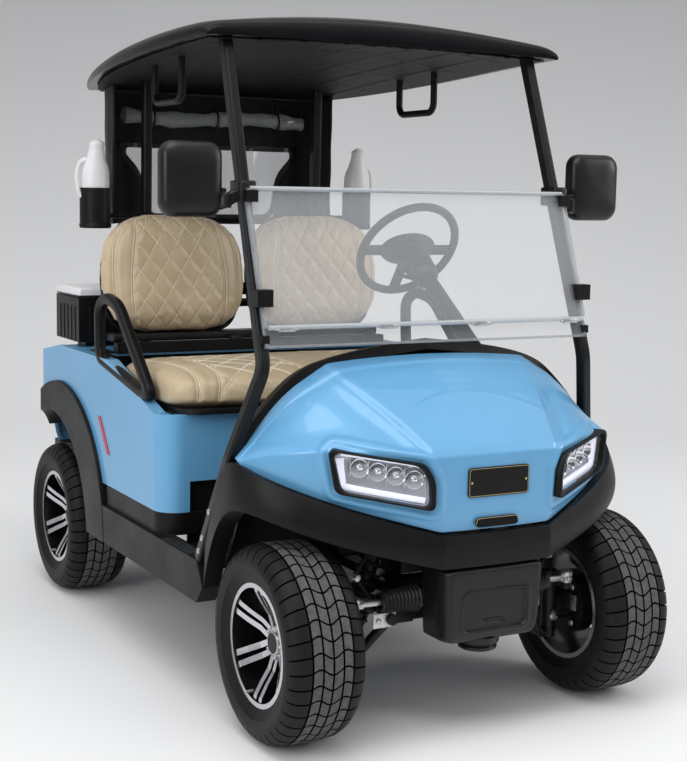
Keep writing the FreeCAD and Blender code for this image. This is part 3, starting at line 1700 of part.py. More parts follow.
rack_y = king_y - S.arm_length
rack_z = king_top + S.tie_eye_gap + S.tie_radius * 1.5
rack_housing = rod("RackHousing", (-S.rack_half_length, rack_y, rack_z), "X", S.rack_radius,
    S.rack_half_length * 2)
rack_bore = rod(
    "RackBore",
    (-S.rack_half_length - S.cut_over, rack_y, rack_z),
    "X",
    S.tie_radius + S.seat_gap / 6,
    (S.rack_half_length + S.cut_over) * 2,
)
rack_post = box(
    "RackPost",
    (-S.rail_x, S.rail_x),
    (rack_y, S.rail_front_y - S.seat_gap),
    (rack_z - S.rack_radius * 0.7, rack_z + S.rack_radius * 0.7),
)
nodes["steering_rack"] = cut("SteeringRack", fuse("RackWhole", rack_housing, rack_post), rack_bore)
tie_half = S.king_x - S.king_radius
tie_eye = rod("TieEye", (tie_half, rack_y, king_top + S.tie_eye_gap), "Z", S.king_radius, S.tie_radius * 3)
nodes["tie_rods"] = fuse(
    "TieRods",
    rod("TieRod", (-tie_half, rack_y, rack_z), "X", S.tie_radius, tie_half * 2),
    tie_eye,
    mirrored("TieEyeMirror", tie_eye),
)

# Rear axle with hubs, springs and drive motor
axle_half = S.rear_hub_x - S.drum_depth
rear_centre = (NONE, S.rear_axle_y, S.tyre_radius)
axle_pieces = [
    rod("AxleTube", (-axle_half, *rear_centre[1:]), "X", S.axle_tube_radius, axle_half * 2),
    rod("Differential", (-S.diff_width / 2, *rear_centre[1:]), "X", S.diff_radius, S.diff_width),
]
for side_name, side in (("Right", -1), ("Left", 1)):
    drum_start = (S.rear_hub_x * side - S.drum_depth * side * 1.2, *rear_centre[1:])
    axle_pieces.append(axle_stub("RearDrum" + side_name, drum_start, side, S.drum_radius, S.drum_depth))
    spindle = S.rim_half_width - S.rim_wall - S.dish_depth - S.hub_cap_length * 1.2 + S.drum_depth
    shaft_start = (S.rear_hub_x * side - S.drum_depth * side, *rear_centre[1:])
    axle_pieces.append(
        axle_stub("RearSpindle" + side_name, shaft_start, side, S.axle_bore_radius - S.seat_gap / 6,
            spindle)
    )
nodes["rear_axle"] = fuse("RearAxle", *axle_pieces)
nodes["drive_motor"] = rod(
    "DriveMotor",
    (NONE, S.rear_axle_y - S.diff_radius - S.seat_gap - S.motor_length, S.tyre_radius),
    "Y",
    S.motor_radius,
    S.motor_length,
)
spring_x = S.rail_x + S.rail_width / 2 + S.seat_gap
spring = box(
    "Spring",
    (spring_x, spring_x + S.spring_width),
    (S.rear_axle_y - S.spring_length / 2, S.rear_axle_y + S.spring_length / 2),
    (S.tyre_radius + S.axle_tube_radius + S.seat_gap, S.tyre_radius + S.axle_tube_radius + S.spring_height),
)
nodes["rear_springs"] = both_sides("RearSprings", spring)

# Batteries
nodes["battery_pack"] = box(
    "BatteryPack",
    (-S.battery_length / 2, S.battery_length / 2),
    (S.battery_y - S.battery_width / 2, S.battery_y + S.battery_width / 2),
    (floor_z + S.seat_gap, floor_z + S.seat_gap + S.battery_height),
)

# Bag well
well_outer = box(
    "WellOuter",
    (-S.well_half_width + S.seat_gap, S.well_half_width - S.seat_gap),
    (S.well_front_y + S.seat_gap, S.well_rear_y),
    (S.well_floor_z + S.seat_gap, S.well_top_z),
)
well_inner = box(
    "WellInner",
    (-S.well_half_width + S.well_wall, S.well_half_width - S.well_wall),
    (S.well_front_y + S.well_wall, S.well_rear_y + S.cut_over),
    (S.well_floor_z + S.well_wall, S.well_top_z + S.cut_over),
)
well_shell = cut("WellShell", well_outer, well_inner)
nodes["bag_well"] = common("BagWell", well_shell, side_profile(NONE, "WellProfile"))

# Rear bumper and tail lamps
nodes["rear_bumper"] = rounded(
    pad(
        "RearBumper",
        "XY_Plane",
        [
            (-S.rear_bumper_half_width, S.rear_end_y - S.rear_bumper_depth),
            (S.rear_bumper_half_width, S.rear_end_y - S.rear_bumper_depth),
            (S.rear_bumper_half_width, S.rear_end_y + S.rear_bumper_depth),
            (S.rear_bumper_half_width - S.rear_bumper_depth, S.rear_end_y + S.rear_bumper_depth * 1.3),
            (-S.rear_bumper_half_width + S.rear_bumper_depth, S.rear_end_y + S.rear_bumper_depth * 1.3),
            (-S.rear_bumper_half_width, S.rear_end_y + S.rear_bumper_depth),
        ],
        floor_z + S.seat_gap,
        S.rear_base_z - floor_z - S.seat_gap * 2,
    ),
    S.block_edge,
    along("Z"),
)
tail_lamp = box(
    "TailLamp",
    (S.tail_lamp_x - S.tail_lamp_width / 2, S.tail_lamp_x + S.tail_lamp_width / 2),
    (S.rear_end_y + S.seat_gap, S.rear_end_y + S.tail_lamp_depth),
    (S.tail_lamp_z - S.tail_lamp_height / 2, S.tail_lamp_z + S.tail_lamp_height / 2),
)
nodes["tail_lamps"] = both_sides("TailLamps", tail_lamp)

# Cooler on the right fender deck, with its lid
cooler_x = (-S.cooler_x - S.cooler_width / 2, -S.cooler_x + S.cooler_width / 2)
cooler_y = (S.cooler_front_y, S.cooler_front_y + S.cooler_length)
cooler_deck_z = S.rear_top_z + S.seat_gap
cooler_base = cooler_deck_z + S.bracket_size
cooler_wall = S.cooler_wall
cooler_top = cooler_base + S.cooler_height
cooler_outside = box("CoolerOutside", cooler_x, cooler_y, (cooler_base, cooler_top))
cooler_inside = box(
    "CoolerInside",
    (cooler_x[0] + cooler_wall, cooler_x[1] - cooler_wall),
    (cooler_y[0] + cooler_wall, cooler_y[1] - cooler_wall),
    (cooler_base + cooler_wall, cooler_top + S.cut_over),
)
cooler_foot = box(
    "CoolerFoot",
    (cooler_x[0] + cooler_wall * 2, cooler_x[1] - cooler_wall * 2),
    (cooler_y[0] + cooler_wall, S.tail_slope_y),
    (cooler_deck_z, cooler_base),
)
nodes["cooler_box"] = cut("CoolerBox", fuse("CoolerWhole", cooler_outside, cooler_foot), cooler_inside)
lid_base = cooler_top + S.seat_gap
nodes["cooler_lid"] = box(
    "CoolerLid",
    (cooler_x[0], cooler_x[1]),
    cooler_y,
    (lid_base, lid_base + S.cooler_lid_height),
)

# Sand bottles in their holders
bottle = rod("Bottle", (S.bottle_x, S.bottle_y, S.bottle_z), "Z", S.bottle_radius, S.bottle_height)
holder = cut(
    "Holder",
    rod("HolderOuter", (S.bottle_x, S.bottle_y, S.bottle_z - S.holder_wall - S.seat_gap), "Z",
        S.bottle_radius + S.holder_wall, S.holder_height),
    rod("HolderInner", (S.bottle_x, S.bottle_y, S.bottle_z - S.seat_gap), "Z",
        S.bottle_radius + S.seat_gap, S.holder_height),
)
nodes["sand_bottles"] = both_sides("SandBottles", bottle)
holder_bar = rod(
    "HolderBar",
    (S.rear_strut_foot_x + S.strut_width / 2 + S.seat_gap, S.bottle_y, S.bottle_z + S.holder_height * 0.3),
    "X",
    S.holder_wall * 2,
    S.bottle_x - S.rear_strut_foot_x - S.strut_width / 2 - S.bottle_radius - S.holder_wall / 2 - S.seat_gap,
)
nodes["bottle_holders"] = both_sides("BottleHolders", fuse("HolderWhole", holder, holder_bar))

# Dash: the raised collar's skin, cut where the cowl, cups and column pass
nodes["dash"] = cut(
    "Dash",
    dash_skin,
    nodes["front_cowl"],
    cup_block,
    on_column("ColumnRoom", S.column_radius + S.seat_gap, -S.column_length * 1.1, column_top),
)

# Struts pass through notches in the cowl, the band and the dash
strut_room = both_sides(
    "StrutRoom",
    flat_bar(
        "StrutRoomSide",
        strut_path,
        S.strut_bend_radius,
        S.strut_width + S.seat_gap * 2,
        S.strut_depth + S.seat_gap * 2,
    ),
)
nodes["front_cowl"] = cut("CowlNotched", nodes["front_cowl"], strut_room)
nodes["bumper_band"] = cut("BandNotched", nodes["bumper_band"], strut_room, nodes["front_cowl"])
nodes["dash"] = cut("DashNotched", nodes["dash"], strut_room)


# Pedals stand off the toe board
def on_toe(share, out):
    """A side-view point at a share of the toe board's height, set off its face."""
    rise = S.toe_top_z - floor_top
    run = S.toe_top_y - S.floor_front_y
    slant = math.hypot(float(rise), float(run))
    return (
        S.floor_front_y + S.floor_thickness + run * share + out * (float(rise) / slant),
        floor_top + rise * share - out * (float(run) / slant),
    )


def pedal(name, x, low_share, high_share):
    plate = pad(
        name + "Plate",
        "YZ_Plane",
        [
            on_toe(low_share, S.pedal_reach),
            on_toe(low_share, S.pedal_reach + S.pedal_thickness),
            on_toe(high_share, S.pedal_reach + S.pedal_thickness),
            on_toe(high_share, S.pedal_reach),
        ],
        x - S.pedal_width / 2,
        S.pedal_width,
    )
    middle_share = (low_share + high_share) / 2
    arm = slanted_rod(
        name + "Arm",
        (x, *on_toe(middle_share, S.seat_gap)),
        (x, *on_toe(middle_share, S.pedal_reach + S.pedal_thickness / 2)),
        S.pedal_arm_radius,
    )
    return fuse(name, plate, arm)


nodes["pedals"] = together(
    "Pedals",
    pedal("Brake", S.brake_x, 0.30, 0.58),
    pedal("Throttle", S.throttle_x, 0.18, 0.60),
)

# Bag rack between the rear struts
rack_bar_y = S.rear_strut_foot_y + (S.rear_strut_top_y - S.rear_strut_foot_y) * (
    float(S.rack_bar_z - S.rear_top_z) / float(S.rear_strut_top_z - S.rear_top_z)
)
rack_bar_half = S.rear_strut_foot_x - S.strut_width / 2 - S.seat_gap
rack_loop_x = (rack_bar_half - S.rack_loop_width) * 0.5
rack_loops = []
for side in (-1, 1):
    loop_x = [rack_loop_x * side, (rack_loop_x + S.rack_loop_width) * side]
    rack_loops.append(
        bent_bar(
            f"RackLoop{'LR'[side > 0]}",
            [
                (loop_x[0], rack_bar_y, S.rack_bar_z),
                (loop_x[0], rack_bar_y + S.rack_loop_reach, S.rack_bar_z),
                (loop_x[1], rack_bar_y + S.rack_loop_reach, S.rack_bar_z),
                (loop_x[1], rack_bar_y, S.rack_bar_z),
            ],
            S.rack_bar_radius * 4,
            S.rack_bar_radius * 0.8,
        )
    )
rack_bar = rod("RackBar", (-rack_bar_half, rack_bar_y, S.rack_bar_z), "X", S.rack_bar_radius,
    rack_bar_half * 2)
nodes["bag_rack"] = fuse("BagRack", rack_bar, *rack_loops)

# Rear cover: a fabric hood open to the front and below, hung under the roof
cover_outer = box(
    "CoverOuter",
    (-S.cover_half_width, S.cover_half_width),
    (S.well_front_y, S.cover_rear_y),
    (S.cover_base_z, S.roof_base_z + S.roof_height / 2),
)
cover_inner = box(
    "CoverInner",
    (-S.cover_half_width + S.cover_wall, S.cover_half_width - S.cover_wall),
    (S.well_front_y - S.cut_over, S.cover_rear_y - S.cover_wall),
    (S.cover_base_z - S.cut_over, S.roof_base_z + S.roof_height),
)
nodes["rear_cover"] = cut("RearCover", cover_outer, cover_inner, roof_space)

# Side reflectors on the rear body
reflector = pad(
    "Reflector",
    "YZ_Plane",
    [
        (S.reflector_low_y - S.reflector_width / 2, S.reflector_low_z),
        (S.reflector_low_y + S.reflector_width / 2, S.reflector_low_z),
        (S.reflector_top_y + S.reflector_width / 2, S.reflector_top_z),
        (S.reflector_top_y - S.reflector_width / 2, S.reflector_top_z),
    ],
    rear_half_width + S.seat_gap,
    S.reflector_depth - S.seat_gap,
)
nodes["side_reflectors"] = both_sides("SideReflectors", reflector)


def check_and_write():
    """Stops on any failed feature, then writes one file for each node."""
    for node, feature in nodes.items():
        feature.Label = node
    doc.recompute()
    failed = [o.Name for o in doc.Objects if "Invalid" in o.State or "Error" in o.State]
    if failed:
        raise RuntimeError("features failed: " + ", ".join(failed))
    for node, feature in nodes.items():
        shape = feature.Shape
        if shape.isNull() or not shape.isValid() or not shape.Solids:
            raise RuntimeError("bad shape: " + node)
    os.makedirs("parts", exist_ok=True)
    for node, feature in nodes.items():
        feature.Shape.exportStep(f"parts/{node}.step")
    print(len(nodes), "nodes written")


check_and_write()
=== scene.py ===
"""Looks of a two-seat golf cart with a light blue body, tan quilted seats and a black roof."""

import math

import bmesh
import bpy
import numpy as np
from mathutils import Matrix, Vector
from mathutils.bvhtree import BVHTree


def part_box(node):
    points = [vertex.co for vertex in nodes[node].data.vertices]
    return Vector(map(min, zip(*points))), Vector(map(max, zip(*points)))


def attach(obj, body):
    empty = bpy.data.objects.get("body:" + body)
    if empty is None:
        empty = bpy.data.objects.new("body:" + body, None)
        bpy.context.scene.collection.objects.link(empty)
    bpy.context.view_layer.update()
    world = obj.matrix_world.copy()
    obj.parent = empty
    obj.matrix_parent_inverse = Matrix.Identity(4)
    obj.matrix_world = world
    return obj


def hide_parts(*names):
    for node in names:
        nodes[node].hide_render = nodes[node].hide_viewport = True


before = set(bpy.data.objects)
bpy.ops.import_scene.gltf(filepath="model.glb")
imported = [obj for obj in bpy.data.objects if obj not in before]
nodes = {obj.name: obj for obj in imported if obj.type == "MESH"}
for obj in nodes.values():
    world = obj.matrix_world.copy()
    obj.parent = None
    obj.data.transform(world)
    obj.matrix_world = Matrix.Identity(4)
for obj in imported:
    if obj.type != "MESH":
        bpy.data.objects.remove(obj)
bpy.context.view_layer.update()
scene = bpy.context.scene

# Camera: the photograph's own place, direction and lens

camera_place = (-2.0933, -4.1482, 1.4003)
camera_right = (0.87999036, -0.47469835, 0.01668651)
camera_up = (0.04498669, 0.11826509, 0.99196248)
camera_ahead = (0.47285639, 0.87216675, -0.12542724)
camera_lens = 68.54


def make_camera():
    data = bpy.data.cameras.new("camera")
    data.lens = camera_lens
    data.clip_end = 60
    made = bpy.data.objects.new("camera", data)
    scene.collection.objects.link(made)
    turn = Matrix((camera_right, camera_up, [-c for c in camera_ahead])).transposed()
    made.matrix_world = Matrix.Translation(camera_place) @ turn.to_4x4()
    scene.camera = made


# Materials: each finish is one Principled shader with its own noise for colour, gloss and bump


class Finish:
    """A material whose nodes are added by short calls."""

    def __init__(self, name, colour, roughness, edge=0.0, **sockets):
        self.name = name
        self.material = bpy.data.materials.new(name + "_finish")
        self.material.use_nodes = True
        self.tree = self.material.node_tree
        self.shader = self.tree.nodes["Principled BSDF"]
        self.shader.inputs["Base Color"].default_value = (*colour, 1.0)
        self.shader.inputs["Roughness"].default_value = roughness
        for key, value in sockets.items():
            self.shader.inputs[key.replace("_", " ")].default_value = value
        self.place = None
        if edge:
            soft = self.node("ShaderNodeBevel", samples=4, Radius=edge)
            self.tree.links.new(soft.outputs["Normal"], self.shader.inputs["Normal"])

    def node(self, kind, links=(), **settings):
        made = self.tree.nodes.new(kind)
        for key, value in settings.items():
            if key in made.inputs:
                made.inputs[key].default_value = value
            else:
                setattr(made, key, value)
        for name, source in dict(links).items():
            self.tree.links.new(source, made.inputs[name])
        return made

    def where(self):
        """The point on the piece, in metres."""
        if self.place is None:
            self.place = self.node("ShaderNodeTexCoord").outputs["Object"]
        return self.place

    def noise(self, scale, detail=3.0, rough=0.5):
        made = self.node("ShaderNodeTexNoise", {"Vector": self.where()},
                         Scale=scale, Detail=detail, Roughness=rough)
        return made.outputs["Fac"]

    def cells(self, scale, feature="F1"):
        made = self.node("ShaderNodeTexVoronoi", {"Vector": self.where()}, feature=feature, Scale=scale)
        return made.outputs["Distance"]

    def steps(self, source, low, high):
        """Source spread from 0 at low to 1 at high."""
        made = self.node("ShaderNodeMapRange", {"Value": source})
        made.inputs["From Min"].default_value = low
        made.inputs["From Max"].default_value = high
        return made.outputs["Result"]

    def maths(self, kind, first, second=0.5):
        made = self.node("ShaderNodeMath", operation=kind)
        for socket, value in zip(made.inputs, (first, second)):
            if isinstance(value, (int, float)):
                socket.default_value = value
            else:
                self.tree.links.new(value, socket)
        return made.outputs[0]

    def blended(self, share, low, high):
        """A colour between two, by share."""
        made = self.node("ShaderNodeMix", data_type="RGBA")
        self.tree.links.new(share, made.inputs["Factor"])
        for socket, value in ((made.inputs["A"], low), (made.inputs["B"], high)):
            if isinstance(value, tuple):
                socket.default_value = (*value, 1.0)
            else:
                self.tree.links.new(value, socket)
        return made.outputs["Result"]

    def colour(self, share, low, high):
        made = self.blended(share, low, high)
        self.tree.links.new(made, self.shader.inputs["Base Color"])
        return self

    def gloss(self, share, low, high, socket="Roughness"):
        made = self.node("ShaderNodeMapRange", {"Value": share})
        made.inputs["To Min"].default_value = low
        made.inputs["To Max"].default_value = high
        self.tree.links.new(made.outputs["Result"], self.shader.inputs[socket])
        return self

    def bump(self, height, depth, strength=1.0):
        """Height from 0 to 1 stands depth metres high. Bumps stack."""
        made = self.node("ShaderNodeBump", {"Height": height}, Strength=strength, Distance=depth)
        before = self.shader.inputs["Normal"].links
        if before:
            self.tree.links.new(before[0].from_socket, made.inputs["Normal"])
        self.tree.links.new(made.outputs["Normal"], self.shader.inputs["Normal"])
        return self


def paint_finish():
    """Light blue metallic lacquer under a clear coat, with fine flake and a soft orange peel."""
    made = Finish("body_paint", (0.135, 0.39, 0.66), 0.4, 0.003, Metallic=0.1, Coat_Weight=0.6,
                  Coat_Roughness=0.08, Specular_IOR_Level=0.3)
    flake = made.noise(1400, 1.0)
    cloud = made.noise(3.0, 2.0)
    share = made.maths("ADD", made.maths("MULTIPLY", flake, 0.6), made.maths("MULTIPLY", cloud, 0.4))
    made.colour(made.steps(share, 0.3, 0.7), (0.112, 0.345, 0.60), (0.158, 0.43, 0.71))
    made.gloss(made.steps(flake, 0.3, 0.7), 0.36, 0.5)
    return made.bump(made.noise(55, 2.0), 0.0004, 0.12)


def plastic_finish(name, tone, roughness, grain=0.00022, grain_size=0.0012, **sockets):
    """Moulded plastic with a fine pebbled grain, a little dust and a faint wear."""
    made = Finish(name, (tone, tone, tone * 1.04), roughness, 0.004, **sockets)
    cloud = made.noise(7.0, 4.0)
    made.colour(made.steps(cloud, 0.3, 0.75), (tone * 0.8, tone * 0.8, tone * 0.84),
                (tone * 1.35, tone * 1.35, tone * 1.4))
    made.gloss(made.steps(cloud, 0.3, 0.7), roughness - 0.06, roughness + 0.08)
    pebble = made.cells(1 / grain_size, feature="SMOOTH_F1")
    return made.bump(pebble, grain, 0.6)


def roof_finish():
    """Gloss black sheet with a slight ripple."""
    made = Finish("roof_plastic", (0.004, 0.004, 0.005), 0.2, 0.006, Specular_IOR_Level=0.14)
    cloud = made.noise(5.0, 3.0)
    made.colour(made.steps(cloud, 0.3, 0.7), (0.002, 0.002, 0.003), (0.005, 0.005, 0.006))
    made.gloss(cloud, 0.16, 0.3)
    return made.bump(made.noise(38, 2.0), 0.0006, 0.15)


def frame_finish():
    """Powder-coated black tube, half gloss."""
    made = Finish("frame_paint", (0.007, 0.007, 0.008), 0.3, 0.0035, Specular_IOR_Level=0.22)
    cloud = made.noise(11.0, 3.0)
    made.colour(made.steps(cloud, 0.3, 0.7), (0.005, 0.005, 0.006), (0.011, 0.011, 0.012))
    made.gloss(cloud, 0.24, 0.38)
    return made.bump(made.noise(420, 2.0), 0.0001, 0.4)


def rubber_finish():
    """Tyre side: dull black with a slight sheen and fine mould marks."""
    made = Finish("tyre_rubber", (0.008, 0.008, 0.008), 0.5, 0.0012, Specular_IOR_Level=0.2)
    dust = made.noise(9.0, 6.0, 0.6)
    made.colour(made.steps(dust, 0.35, 0.75), (0.005, 0.005, 0.005), (0.011, 0.011, 0.011))
    made.gloss(dust, 0.42, 0.6)
    return made.bump(made.noise(700, 3.0), 0.00012, 0.5)


def tread_finish():
    """Running face of the tread: scuffed and dusty grey."""
    made = Finish("tread_face", (0.06, 0.06, 0.06), 0.8, Specular_IOR_Level=0.15)
    dust = made.noise(60.0, 6.0, 0.7)
    made.colour(made.steps(dust, 0.3, 0.75), (0.065, 0.065, 0.065), (0.13, 0.129, 0.127))
    return made.bump(made.noise(900, 3.0), 0.0003, 0.6)


def groove_painted_shade_finish():
    # Painted shade: the groove rubber is darker than the sidewall rubber, standing in for the shade down in
    # the grooves
    made = Finish("tread_groove", (0.003, 0.003, 0.003), 0.85, Specular_IOR_Level=0.05)
    return made.bump(made.noise(400, 2.0), 0.0002, 0.4)


def alloy_finish():
    """Wheel alloy: the outer faces machined bright, everything turned away from them gloss black."""
    made = Finish("alloy", (0.6, 0.6, 0.62), 0.2)
    turned = made.node("ShaderNodeTexCoord").outputs["Normal"]
    across = made.node("ShaderNodeSeparateXYZ", {"Vector": turned}).outputs["X"]
    facing = made.steps(made.maths("ABSOLUTE", across), 0.76, 0.84)
    rings = made.noise(900, 1.0)
    bright = made.blended(made.steps(rings, 0.3, 0.7), (0.5, 0.5, 0.52), (0.74, 0.74, 0.76))
    made.colour(facing, (0.006, 0.006, 0.007), bright)
    made.gloss(facing, 0.22, 0.26)
    made.gloss(facing, 0.0, 1.0, "Metallic")
    return made.bump(rings, 0.00004, 0.3)


def steel_finish():
    """Zinc-plated steel with a mottled bloom."""
    made = Finish("steel", (0.6, 0.6, 0.6), 0.34, Metallic=0.9)
    bloom = made.noise(70, 5.0, 0.6)
    made.colour(made.steps(bloom, 0.35, 0.7), (0.42, 0.42, 0.43), (0.72, 0.72, 0.72))
    made.gloss(bloom, 0.24, 0.5)
    return made.bump(made.noise(600, 2.0), 0.00008, 0.4)


def sheet_finish():
    """Acrylic screen with a white haze, clearer in patches."""
    made = Finish("clear_sheet", (0.80, 0.82, 0.84), 0.08, Alpha=0.12, IOR=1.49)
    haze = made.noise(2.2, 2.0)
    made.gloss(made.steps(haze, 0.3, 0.7), 0.085, 0.12, "Alpha")
    return made.bump(made.noise(14, 1.0), 0.0004, 0.05)


def lens_finish():
    """Clear lamp cover."""
    made = Finish("lamp_lens", (0.95, 0.96, 0.98), 0.02, Alpha=0.06, IOR=1.5)
    return made.bump(made.noise(60, 1.0), 0.0002, 0.1)


def plate_finish():
    made = Finish("plate_black", (0.004, 0.004, 0.004), 0.3, Specular_IOR_Level=0.25)
    made.gloss(made.noise(30, 3.0), 0.24, 0.4)
    return made.bump(made.noise(90, 2.0), 0.0002, 0.1)


def red_finish():
    """Red reflector with its moulded prisms."""
    made = Finish("red_lens", (0.6, 0.005, 0.012), 0.12, Coat_Weight=0.4, Specular_IOR_Level=0.2)
    cell = made.cells(330)
    made.colour(made.steps(cell, 0.1, 0.6), (0.72, 0.006, 0.015), (0.34, 0.002, 0.006))
    return made.bump(cell, 0.0006, 0.6)


def white_finish():
    """White moulded plastic, a little translucent."""
    made = Finish("white_plastic", (0.8, 0.8, 0.81), 0.32, Subsurface_Weight=0.15)
    made.shader.inputs["Subsurface Scale"].default_value = 0.02
    cloud = made.noise(16, 3.0)
    made.colour(cloud, (0.74, 0.74, 0.76), (0.86, 0.86, 0.86))
    return made.bump(made.noise(260, 2.0), 0.00015, 0.3)


def vinyl_finish():
    """Tan seat vinyl: fine leather grain, paler where it is rubbed."""
    made = Finish("seat_vinyl", (0.46, 0.35, 0.23), 0.42, Sheen_Weight=0.08, Coat_Weight=0.3,
                  Coat_Roughness=0.3)
    cloud = made.noise(9.0, 4.0)
    made.colour(made.steps(cloud, 0.3, 0.72), (0.50, 0.385, 0.235), (0.61, 0.485, 0.315))
    made.gloss(cloud, 0.36, 0.52)
    made.bump(made.cells(620, feature="SMOOTH_F1"), 0.0004, 0.5)
    return made.bump(made.noise(48, 4.0), 0.0009, 0.25)


def fabric_finish():
    """Black coated cloth with a plain weave."""
    made = Finish("black_fabric", (0.008, 0.008, 0.009), 0.72, Sheen_Weight=0.12, Specular_IOR_Level=0.2)
    weave = made.node("ShaderNodeTexWave", {"Vector": made.where()}, Scale=260.0)
    weft = made.node("ShaderNodeTexWave", {"Vector": made.where()}, Scale=260.0, bands_direction="Z")
    cloth = made.maths("MULTIPLY", weave.outputs["Fac"], weft.outputs["Fac"])
    made.colour(cloth, (0.005, 0.005, 0.006), (0.016, 0.016, 0.017))
    return made.bump(cloth, 0.0003, 0.5)


def lamp_silver_finish():
    """Vacuum-metalled lamp housing."""
    made = Finish("lamp_silver", (0.86, 0.87, 0.90), 0.1, Metallic=0.9)
    return made.bump(made.noise(120, 2.0), 0.0002, 0.15)


def lamp_tray_finish():
    """Grey metallized tray behind the projectors."""
    made = Finish("lamp_tray", (0.52, 0.53, 0.57), 0.3, Metallic=0.6)
    return made.bump(made.cells(160), 0.0012, 0.3)


def lamp_strip_finish():
    """White light guide, given a faint painted glow though the lamp is not switched on."""
    # Painted glow: the weak emission makes the strip of the switched-off lamp look brighter
    made = Finish("lamp_strip", (0.86, 0.88, 0.95), 0.25, Coat_Weight=0.5, Emission_Strength=0.5)
    made.shader.inputs["Emission Color"].default_value = (0.8, 0.84, 1.0, 1.0)
    return made.bump(made.cells(400), 0.0002, 0.3)


def bulb_finish():
    """Projector glass."""
    made = Finish("bulb", (0.72, 0.74, 0.78), 0.06, Metallic=0.85, Coat_Weight=1.0)
    return made.bump(made.noise(90, 1.0), 0.0003, 0.15)


def gilt_finish():
    made = Finish("gilt", (0.62, 0.50, 0.26), 0.3, Metallic=0.9)
    return made.bump(made.noise(500, 2.0), 0.00005, 0.3)


def stitch_finish():
    """Cream thread, twisted along its length."""
    made = Finish("stitch", (0.90, 0.82, 0.66), 0.6, Sheen_Weight=0.2)
    made.colour(made.noise(900, 2.0), (0.80, 0.71, 0.54), (0.96, 0.90, 0.76))
    return made.bump(made.cells(1500), 0.0003, 0.6)


def edge_finish():
    """Polished edge of the acrylic screen."""
    made = Finish("sheet_edge", (0.66, 0.69, 0.71), 0.12, Alpha=0.62, Coat_Weight=1.0)
    return made.bump(made.noise(60, 2.0), 0.0004, 0.2)


def rim_finish():
    """Sawn outer edge of the screen, dimmer than its folded beads."""
    made = Finish("sheet_rim", (0.36, 0.38, 0.40), 0.2, Alpha=0.42, Coat_Weight=0.6)
    return made.bump(made.noise(60, 2.0), 0.0004, 0.2)


def film_finish():
    """Flexible clear window of the rear cover, slightly yellowed."""
    made = Finish("film", (0.45, 0.47, 0.48), 0.14, Alpha=0.34, Coat_Weight=0.6)
    return made.bump(made.noise(9, 3.0), 0.003, 0.3)


def liner_finish():
    """Matte black moulded underside."""
    made = Finish("liner", (0.005, 0.005, 0.005), 0.62, Specular_IOR_Level=0.2)
    made.colour(made.noise(8, 4.0), (0.003, 0.003, 0.003), (0.007, 0.007, 0.007))
    return made.bump(made.cells(700, feature="SMOOTH_F1"), 0.0002, 0.5)


def bellows_finish():
    made = Finish("bellows", (0.014, 0.014, 0.014), 0.5)
    return made.bump(made.noise(300, 2.0), 0.0002, 0.4)


made_finishes = (
    paint_finish(), plastic_finish("black_plastic", 0.0062, 0.38, Specular_IOR_Level=0.18),
    plastic_finish("satin_black", 0.007, 0.34, 0.00012, 0.0009, Specular_IOR_Level=0.35),
    roof_finish(), frame_finish(), rubber_finish(), tread_finish(), groove_painted_shade_finish(), alloy_finish(),
    steel_finish(), sheet_finish(), edge_finish(), rim_finish(), lens_finish(), lamp_silver_finish(),
    lamp_tray_finish(), lamp_strip_finish(), bulb_finish(), plate_finish(), gilt_finish(), red_finish(),
    white_finish(), vinyl_finish(), stitch_finish(), fabric_finish(), film_finish(), liner_finish(),
    bellows_finish())
finishes = {f.name: f.material for f in made_finishes}

node_finish = {
    "body_paint": ["front_cowl", "rear_body"],
    "black_plastic": ["bumper_band", "bumper_block", "rear_flares", "rocker_panels", "floor_pan",
                      "dash", "cup_holders", "windshield_clips", "mirrors", "roof_handles",
                      "steering_wheel", "seat_frame", "hip_restraints", "seat_deck", "bag_well",
                      "headlamp_bezels", "rear_bumper", "bottle_holders", "cooler_box",
                      "battery_pack", "steering_column"],
    "roof_plastic": ["roof"],
    "frame_paint": ["front_struts", "rear_struts", "frame_rails", "front_suspension", "rear_axle",
                    "bag_rack", "knuckle_right", "knuckle_left", "drive_motor", "rear_springs", "seat_base"],
    "tyre_rubber": ["tyre_front_right", "tyre_front_left", "tyre_rear_right", "tyre_rear_left"],
    "alloy": ["rim_front_right", "rim_front_left", "rim_rear_right", "rim_rear_left"],
    "steel": ["tie_rods", "steering_rack", "pedals"],
    "clear_sheet": ["windshield_lower", "windshield_upper"],
    "lamp_lens": ["headlamp_lenses"],
    "plate_black": ["number_plate"],
    "red_lens": ["tail_lamps", "side_reflectors"],
    "white_plastic": ["cooler_lid", "sand_bottles"],
    "seat_vinyl": ["seat_cushion", "seat_back_right", "seat_back_left"],
    "black_fabric": ["rear_cover"],
}


def dress(piece, finish):
    piece.data.materials.clear()
    piece.data.materials.append(finishes[finish])


def dress_nodes():
    for finish, names in node_finish.items():
        for name in names:
            dress(nodes[name], finish)
    left = sorted(set(nodes) - {n for names in node_finish.values() for n in names})
    if left:
        raise RuntimeError("no finish for " + ", ".join(left))


# Studio: a pale sweep with painted shade that darkens its wall towards the top and its floor near the camera,
# three soft lamps and an even sky

studio_tone = 0.78
sweep_front, sweep_back, sweep_high, sweep_bend, sweep_half = -9.0, 7.0, 9.0, 3.0, 16.0
# Painted shade on the sweep: pale at the wall's foot, dark at its top and on the floor near the camera
wall_rise, wall_low, wall_top_painted_shade = 5.5, (0.86, 0.86, 0.86), (0.34, 0.34, 0.34)
near_end, near_start, near_floor_painted_shade = -3.4, -2.0, (0.42, 0.42, 0.42)


